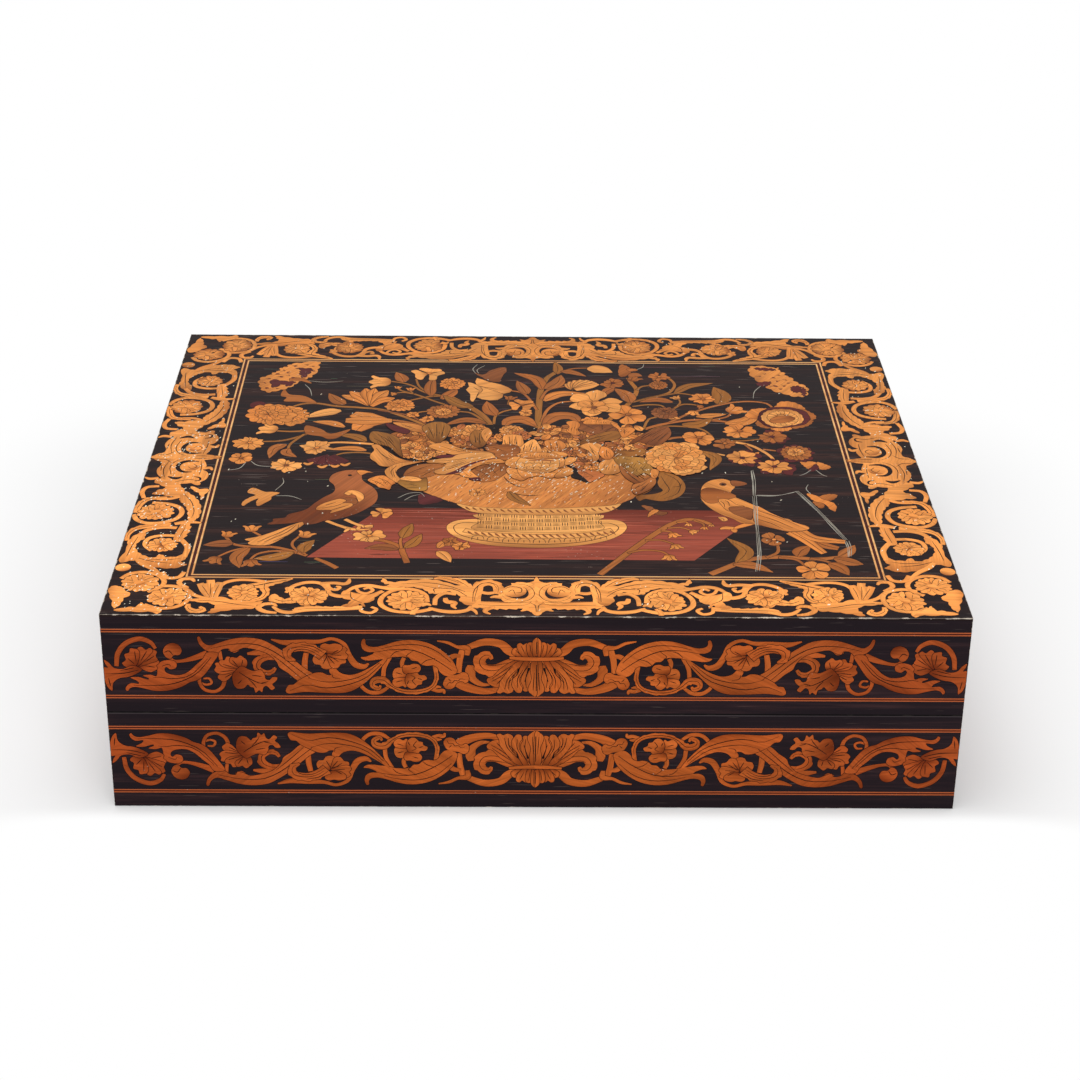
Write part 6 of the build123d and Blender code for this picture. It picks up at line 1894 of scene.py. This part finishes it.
def branches(pen):
    """Twigs with leaves that rise from the lower edge of the picture."""
    for width, wood, path in (
        (1.6, COPPER, [(-113.6, 53.4), (-120, 59.6), (-127, 65)]),
        (1.3, COPPER, [(-132, 68), (-142, 74), (-152, 78), (-163, 78.4), (-175, 81), (-181, 90)]),
        (1.0, COPPER, [(-138, 71), (-150, 73.4), (-160, 70), (-164, 63)]),
        (0.9, COPPER, [(-133, 70), (-140, 77), (-141.6, 84), (-138, 92)]),
        (0.9, COPPER, [(-160, 91), (-164, 95), (-167, 98)]),
        (0.9, COPPER, [(-168, 77), (-176, 73), (-183, 66)]),
        (2.2, COPPER,
         [(99, 48.6), (106, 54), (115, 61), (124, 66.4), (135, 69), (150, 68.6), (162, 67), (178, 70)]),
        (1.1, COPPER, [(133, 68.6), (140, 75), (141, 85)]),
        (1.1, COPPER, [(140, 68.6), (150, 66), (155, 57)]),
        (1.1, COPPER, [(158, 67.6), (166, 65), (172, 60)]),
        (2.0, COPPER, [(36, 47.4), (45, 61), (55, 76), (65, 90), (75, 103), (82, 110.4), (90, 115),
                       (98, 113.6), (104, 109)]),
        (0.9, COPPER, [(53, 73), (62, 76.6), (72, 75.4), (77, 70)]),
        (0.9, COPPER, [(64, 88.6), (73, 89), (80, 84.6)]),
        (0.9, COPPER, [(74, 100.6), (79, 99.6), (81, 96)]),
        (0.8, COPPER, [(78, 104), (86, 104.6), (92, 101)]),
        (0.8, COPPER, [(84, 111), (89, 112), (91, 109)]),
        (0.8, COPPER, [(94, 114), (99, 110), (100, 105)]),
        (1.8, COPPER, [(-74, 60), (-77, 72), (-79, 79), (-87, 85.6), (-96, 88)]),
        (0.9, COPPER, [(-78, 77), (-79, 88), (-76, 96)]),
    ):
        stem(pen, wood, width, *path)
    for half, wood, path in (
        (4, OLIVE, [(-134, 72), (-134, 79), (-129, 87)]),
        (4.2, OLIVE, [(-140, 72), (-150, 66), (-162, 64)]),
        (4.2, COPPER, [(-166, 77), (-172, 66), (-169, 53)]),
        (4.2, BROWN, [(-176, 82), (-183, 82), (-193, 80)]),
        (4.2, OLIVE, [(115, 62), (122, 76), (112, 92)]),
        (3.8, COPPER, [(113, 60), (124, 59), (135, 51)]),
        (4.4, COPPER, [(151, 70), (154, 77), (160, 83)]),
        (4, COPPER, [(175, 70), (181, 76), (186, 84)]),
        (4.4, COPPER, [(172, 68), (180, 64), (188, 61)]),
        (4.2, COPPER, [(168, 62), (174, 57), (178, 48)]),
        (3.8, OLIVE, [(-78, 90), (-76, 98), (-73, 108)]),
        (3.6, OLIVE, [(-76, 78), (-71, 85), (-67, 95)]),
        (3.8, BROWN, [(-80, 76), (-89, 79), (-99, 77)]), (3.6, GOLD, [(-57, 74), (-53, 69), (-49, 61)]),
        (2.6, HONEY, [(-57, 78), (-54, 84), (-50, 88)]),
        (2.4, HONEY, [(-47, 76), (-42, 80), (-40, 86)]),
        (2.2, STRAW, [(112, 113), (112, 116), (109, 118)]),
    ):
        leaf(pen, wood, half, *path)


def scratches(pen):
    """Pale scratches and scored guide lines in the dark ground, and feelers of the insects."""
    for path in (
        [(135, 181), (134.6, 165), (133.4, 147)],
        [(134, 147), (145, 146.6), (153, 149), (160, 152.6)],
        [(160, 153), (165, 140), (171, 124), (177, 106), (182, 90)],
        [(182, 89), (182.4, 80), (181, 70)],
        [(133.4, 146), (132, 124), (131, 108), (130.4, 88), (129, 70), (126, 52)],
    ):
        for gap in (-1.1, -0.2, 1.0):
            shifted = [(x + gap * pen.random.uniform(0.5, 1.3), y + gap * 0.4) for x, y in path]
            pen.mark(shifted, [0.1, 0.26, 0.12, 0.24, 0.1], SCRATCH, 20)
    for path in (
        [(-151, 312), (-140, 310), (-128, 312)], [(-153, 306), (-149, 298), (-147, 288)],
        [(-39, 326), (-41, 333), (-38, 341)], [(-37, 326), (-38, 332), (-33, 339)],
        [(71, 334), (75, 338), (76, 343)], [(153, 308), (148, 299), (146, 288)],
        [(-158, 150), (-154, 160), (-155, 167)], [(-157, 143), (-148, 142.6), (-141, 138)],
        [(-83, 141), (-77, 147), (-70, 148), (-67, 143)], [(-79, 138), (-75, 143), (-70, 146)],
        [(172, 182), (168, 177), (164, 174)], [(175, 182), (178, 176), (181, 173)],
        [(168, 149), (166, 156), (168, 162)], [(-180, 188), (-183, 180), (-190, 177)],
        [(-177, 190), (-172, 184), (-162, 182)],
    ):
        pen.mark(path, [0.2, 0.26, 0.12], SCRATCH, 20)
    for number in range(46):
        x, y = pen.random.uniform(-190, 150), pen.random.uniform(54, 340)
        length = pen.random.uniform(2, 6.6) ** 2
        tone = tuple(v * pen.random.uniform(0.12, 0.5) for v in SCRATCH)
        pen.mark([(x, y), (x + length / 2, y + 0.1), (x + length, y)], [0.08, 0.2, 0.08], tone, -0.8, 5)


def top_picture():
    """The picture on the top, from its back to its front, and its chips."""
    panel = Panel("lid_flower_picture", (0, 0, box_height), (1, 0, 0), (0, 1, 0), box_width / 2,
                  painted=True)
    pen = Pen(panel, layer=1, wood=GOLD, seed=7).at(0, -box_depth / 2)
    urn(pen)
    stems(pen.at(rise=2))
    leaves(pen.at(rise=3))
    flowers(pen.at(rise=4))
    centre(pen.at(rise=5))
    butterflies(pen.at(rise=3))
    branches(pen.at(rise=2))
    left_bird(pen.at(rise=4))
    right_bird(pen.at(rise=4))
    scratches(pen)
    for count, low, high in (
        (14, (-190, 60), (-110, 200)), (60, (-60, 128), (70, 215)), (12, (40, 60), (180, 200)),
        (40, (-150, 200), (170, 320)),
    ):
        chips(pen, count, low, high)
    panel.finish("lid", inlay_worn, "picture_marquetry")


top_border()
top_picture()


def dress(material, *names):
    """Give CAD nodes a procedural material."""
    for name in names:
        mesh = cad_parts[name].data
        mesh.materials.clear()
        mesh.materials.append(material)


# Heights of the middles of the four string lines, and half the width of their dark strip
string_heights = (10.2, 52.8, 73.2, 115.8)
string_half = 0.46
# Inner half width and half depth of the lines round the picture, and how wide they are together
frame_lines = (194.1, 149.1, 4.4)

ebony_x, ebony_y = (
    ebony_material("ebony_along_" + axis, axis, colour(29, 21, 26), colour(60, 40, 42)) for axis in "xy"
)
ebony_top = ebony_material("ebony_on_top", "x", colour(31, 22, 23), colour(70, 46, 41), 0.5, 0.03)
carcass, carcass_side = (
    wood_material(name, colour(150, 104, 66), colour(104, 66, 40), axis, 0.6)
    for name, axis in (("carcass_pine", "x"), ("carcass_pine_side", "y"))
)
field = wood_material("field_rosewood", colour(112, 62, 40), colour(60, 30, 22), "y", 0.42, coat=0.2)
light_wood = wood_material("point_boxwood", colour(214, 168, 104), colour(178, 128, 72), "x", 0.42,
                           coat=0.2)
dark_wood = wood_material("point_ebony", colour(44, 33, 32), colour(22, 15, 16), "x", 0.4, coat=0.2)
frame_light = wood_material("line_boxwood", colour(246, 190, 124), colour(218, 148, 84), "x", 0.42,
                            joints=frame_lines)
frame_dark = wood_material("line_rosewood", colour(76, 24, 16), colour(44, 14, 10), "x", 0.5)
strings = string_material("string_lines", colour(180, 92, 48), colour(70, 18, 12), string_heights,
                          string_half)


def brass_material():
    shader = Shader("aged_brass")
    place = shader.place()
    tarnish = shader.noise(place, 260, 5, 0.6)
    base = shader.mix(shader.band(tarnish, 0.4, 0.7), colour(188, 148, 78), colour(104, 76, 38))
    scratch = shader.noise(shader.scaled(place, (90, 2600, 2600)), 1, 2, 0.5)
    shader.bump(scratch, 0.15, 0.0001)
    return shader.finish(base, shader.band(tarnish, 0.3, 0.75, 0.26, 0.5), Metallic=1.0)


brass = brass_material()
for half in ("base", "lid"):
    for side in ("front", "back"):
        dress(ebony_x, f"{half}_{side}_veneer")
        dress(carcass, f"{half}_{side}_board")
    for side in ("left", "right"):
        dress(ebony_y, f"{half}_{side}_veneer")
        dress(carcass_side, f"{half}_{side}_board")
    dress(ebony_x, f"{half}_rim")
    dress(strings, f"{half}_side_stringing")
    dress(field, f"{half}_field_veneer")
    dress(light_wood, f"{half}_light_points")
    dress(dark_wood, f"{half}_dark_points")
    dress(brass, f"{half}_hinge_leaves")
dress(brass, "hinge_pins")
dress(carcass, "base_bottom_board", "lid_top_board")
dress(ebony_top, "lid_border_veneer", "lid_picture_panel")
dress(frame_light, "lid_frame_light_lines")
dress(frame_dark, "lid_frame_dark_line")


class Solid:
    """Closed shapes gathered into one mesh, in millimetres of the frame."""

    def __init__(self):
        self.points = []
        self.faces = []

    def ring(self, centre, radius, height, count, up=1):
        """A level ring of points, as their numbers."""
        first = len(self.points)
        for number in range(count):
            angle = 2 * math.pi * number / count
            self.points.append((centre[0] + radius * math.cos(angle),
                                centre[1] + up * radius * math.sin(angle), centre[2] + up * height))
        return list(range(first, len(self.points)))

    def wall(self, low, high):
        """The faces between two rings of points."""
        for a in range(len(low)):
            b = (a + 1) % len(low)
            self.faces.append([low[a], low[b], high[b], high[a]])

    def lathe(self, centre, profile, count=48, up=1):
        """A turned shape. The profile goes from the middle of its bottom to the middle of its top."""
        rings = [self.ring(centre, radius, height, count, up) for radius, height in profile]
        self.faces.append(rings[0][::-1])
        for low, high in zip(rings, rings[1:]):
            self.wall(low, high)
        self.faces.append(rings[-1])

    def stack(self, *outlines):
        """A closed shape through outlines of the same count, counterclockwise from above the last."""
        rings = []
        for outline in outlines:
            first = len(self.points)
            self.points += outline
            rings.append(list(range(first, len(self.points))))
        self.faces.append(rings[0][::-1])
        self.faces.append(rings[-1])
        for low, high in zip(rings, rings[1:]):
            self.wall(low, high)

    def finish(self, name, body, material, slot, replaced=()):
        mesh = bpy.data.meshes.new(name)
        mesh.from_pydata([mm(*point) for point in self.points], [], self.faces)
        mesh.materials.append(material)
        mesh.polygons.foreach_set("use_smooth", [True] * len(mesh.polygons))
        mesh.set_sharp_from_angle(angle=math.radians(32))
        mesh.validate()
        settle(name, mesh, body, replaced)


# Men and dice, in millimetres
tray_floor = 11.0
man_height = 9.0
men_in_stack = 5
stack_row = 157
man_profile = [(1, 0.02), (20.6, 0.02), (21.6, 0.5), (21.98, 1.3), (21.98, 3.6), (21.5, 4.2),
               (21.5, 4.8), (21.98, 5.4), (21.98, 7.6), (21.6, 8.4), (20.8, 8.96), (19.4, 8.96),
               (18.8, 8.4), (17.6, 8.4), (17, 8.96), (12.6, 8.96), (12, 8.5), (11, 8.5), (10.4, 8.96),
               (3.6, 8.96), (2.8, 8.6), (1, 8.6)]


def men(body, columns, material):
    """Turned men in stacks along the back of the tray, in the place of the body's own node."""
    solid = Solid()
    for x in columns:
        for level in range(men_in_stack):
            solid.lathe((x, stack_row, tray_floor + level * man_height), man_profile)
    solid.finish(body + "_turned", body, material, body[:-4] + "_man", (body,))


for body, columns, wood, light, dark in (
    ("light_men", (-190, -38, 114), "man_boxwood", colour(222, 182, 122), colour(190, 140, 84)),
    ("dark_men", (-114, 38, 190), "man_rosewood", colour(70, 40, 32), colour(38, 22, 20)),
):
    men(body, columns, wood_material(wood, light, dark, "x", 0.36))

die_half = 6.0
die_round = 1.2
die_places = ((0, 173, tray_floor + die_half), (0, 153, tray_floor + die_half))
# Each die's values towards the right, the back and the top
die_values = ((5, 3, 6), (1, 2, 4))
# Radius of a pip and its level above the face, from its foot to its top
pip_rims = ((1.05, -0.4), (1.05, 0.0), (0.7, 0.04))
pip_sides = 16
pips = {1: [(0, 0)], 2: [(-3, -3), (3, 3)], 3: [(-3, -3), (0, 0), (3, 3)],
        4: [(-3, -3), (-3, 3), (3, -3), (3, 3)], 5: [(-3, -3), (-3, 3), (0, 0), (3, -3), (3, 3)],
        6: [(-3, -3), (-3, 0), (-3, 3), (3, -3), (3, 0), (3, 3)]}


def dice():
    """Two bone dice with rounded edges, and their dark pips."""
    core = die_half - die_round
    bends = [core + die_round * math.tan(math.radians(angle)) for angle in (0, 15, 30, 45)]
    marks = [-v for v in bends[::-1]] + bends
    bone, dots = Solid(), Solid()
    for number, centre in enumerate(die_places):
        known = {}
        for side in range(6):
            axis, sign = side % 3, 1 if side < 3 else -1
            one, two = (axis + 1) % 3, (axis + 2) % 3

            def corner(u, v):
                point = np.zeros(3)
                point[axis], point[one], point[two] = sign * die_half, u, v
                inner = np.clip(point, -core, core)
                way = point - inner
                placed = tuple(np.round(inner + way / np.linalg.norm(way) * die_round + centre, 4))
                if placed not in known:
                    known[placed] = len(bone.points)
                    bone.points.append(placed)
                return known[placed]

            for u0, u1 in zip(marks, marks[1:]):
                for v0, v1 in zip(marks, marks[1:]):
                    face = [corner(u0, v0), corner(u1, v0), corner(u1, v1), corner(u0, v1)]
                    bone.faces.append(face if sign > 0 else face[::-1])
            value = die_values[number][axis]
            for u, v in pips[value if sign > 0 else 7 - value]:
                rims = []
                for radius, level in pip_rims:
                    rim = []
                    for step in range(pip_sides):
                        angle = sign * 2 * math.pi * step / pip_sides
                        point = np.zeros(3)
                        point[axis] = sign * (die_half + level)
                        point[one] = u + radius * math.cos(angle)
                        point[two] = v + radius * math.sin(angle)
                        rim.append(tuple(point + centre))
                    rims.append(rim)
                dots.stack(*rims)
    bone_white = wood_material("die_bone", colour(236, 224, 196), colour(212, 194, 158), "z", 0.34,
                               coat=0.2)
    bone.finish("dice_rounded", "dice", bone_white, "bone", ("dice",))
    dots.finish("dice_pips", "dice", dark_wood, "ebony")


dice()


# Hinge screws: where they stand, the radius and level of their shank and of their slotted head
# below the face of the leaf, half the slot's width, and the height of each leaf's face
screw_columns = (-166, -134, 134, 166)
screw_row = 188.8
screw_shank = [(0.4, -1.98), (1.08, -1.98), (1.08, -1.2), (1.74, -0.5), (0.4, -0.5)]
screw_head = ((1.74, -0.5), (2.2, -0.02))
slot_half = 0.28
base_leaf_face = 62.85
lid_leaf_face = 63.15


def hinge_screws(body, level, up):
    """Countersunk brass screws with a slot, in the holes of one half's hinge leaves."""
    solid = Solid()
    for number, x in enumerate(screw_columns):
        solid.lathe((x, screw_row, level), screw_shank, 32, up)
        for half in (0, math.pi):
            turn = math.radians(20 + 47 * number) + half
            c, s = math.cos(turn), math.sin(turn)
            plans = []
            for radius, height in screw_head:
                start = math.asin(slot_half / radius)
                angles = np.linspace(start, math.pi - start, 14)
                plan = [(radius * math.cos(a), radius * math.sin(a)) for a in angles]
                plans.append([(x + (u * c - v * s), screw_row + up * (u * s + v * c),
                               level + up * height) for u, v in plan])
            solid.stack(*plans)
    solid.finish(body + "_hinge_screws", body, brass, "brass")


hinge_screws("base", base_leaf_face, 1)
hinge_screws("lid", lid_leaf_face, -1)

# Camera, as the photograph was taken
view_at = Vector((-0.0157, -1.2677, 0.7522))
view_down, view_yaw, view_roll = 25.596, -0.854, 0.708
lens_mm = 75.2
sensor_mm = 36
view_shift = -0.1
camera = bpy.data.objects.new("camera", bpy.data.cameras.new("camera"))
camera.data.lens = lens_mm
camera.data.sensor_width = sensor_mm
camera.data.shift_y = view_shift
camera.location = view_at
turn = Matrix.Rotation(math.radians(view_yaw), 4, "Z")
tilt = Matrix.Rotation(math.radians(90 - view_down), 4, "X")
lean = Matrix.Rotation(math.radians(view_roll), 4, "Z")
camera.rotation_euler = (turn @ tilt @ lean).to_euler()
bpy.context.scene.collection.objects.link(camera)
bpy.context.scene.camera = camera


# Floor, in metres: half its side, how far it lies below the box, how far from the box it has turned
# wholly white, and how far beside the box the shadow reaches less far to the back
floor_half = 6.0
floor_drop = 0.0004
white_from = 0.21
short_from = 0.12


def make_floor():
    """A pale floor that looks white to the eye and to gloss, and keeps the object's shadow."""
    mesh = bpy.data.meshes.new("floor")
    corners = ((-1, -1), (1, -1), (1, 1), (-1, 1))
    mesh.from_pydata([(x * floor_half, y * floor_half, -floor_drop) for x, y in corners], [],
                     [[0, 1, 2, 3]])
    floor = bpy.data.objects.new("floor", mesh)
    bpy.context.scene.collection.objects.link(floor)
    shader = Shader("floor_paper")
    matt = shader.node("BsdfDiffuse", {"Color": (0.92, 0.92, 0.92)})
    glow = shader.node("Emission", {"Color": (1.0, 1.0, 1.0), "Strength": 1.0})
    x, y = (shader.axis(shader.place(), name) for name in "XY")
    beside = shader.math("SUBTRACT", shader.math("ABSOLUTE", x), box_width / 2 * MM)
    behind = shader.math("SUBTRACT", y, box_depth / 2 * MM)
    before = shader.math("SUBTRACT", shader.math("MULTIPLY", y, -1.0), box_depth / 2 * MM)
    reach = [shader.math("MAXIMUM", gap, 0.0) for gap in (beside, before, behind)]
    reach[1] = shader.math("MULTIPLY", reach[1], shader.band(beside, 0.0, short_from, 15.0, 2.5))
    apart = shader.node("CombineXYZ", dict(enumerate(reach))).outputs[0]
    apart = shader.node("VectorMath", {0: apart}, operation="LENGTH").outputs["Value"]
    away = shader.band(apart, 0.0, white_from, 0.2, 1.0)
    share = shader.math("MULTIPLY", shader.seen(), away)
    both = shader.node("MixShader", {0: share, 1: matt.outputs[0], 2: glow.outputs[0]})
    shader.put(shader.tree.nodes["Material Output"].inputs["Surface"], both.outputs[0])
    mesh.materials.append(shader.material)


make_floor()


# Light that the white room sheds on the box, as a share of how bright it looks
room_glow = 0.45


def make_light():
    """A white room and two large soft lamps, overhead and in front."""
    world = bpy.data.worlds.new("studio")
    bpy.context.scene.world = world
    nodes = Nodes(world)
    level = nodes.node("MapRange", {"Value": nodes.seen(), "To Min": room_glow, "To Max": 1.0})
    sky = nodes.tree.nodes["Background"].inputs
    sky["Color"].default_value = (1, 1, 1, 1)
    nodes.put(sky["Strength"], level.outputs[0])
    for name, place, aim, size, power in (
        ("lamp_over", (-0.15, -0.2, 1.7), (0, 0, 0.1), 1.4, 17),
        ("lamp_front", (0.6, -2.2, 0.8), (0, 0, 0.06), 1.2, 15),
    ):
        data = bpy.data.lights.new(name, "AREA")
        data.shape = "SQUARE"
        data.size = size
        data.energy = power
        lamp = bpy.data.objects.new(name, data)
        lamp.location = place
        lamp.rotation_euler = (Vector(aim) - Vector(place)).to_track_quat("-Z", "Y").to_euler()
        bpy.context.scene.collection.objects.link(lamp)


make_light()
bpy.context.scene.view_settings.view_transform = "Standard"

bpy.context.view_layer.update()
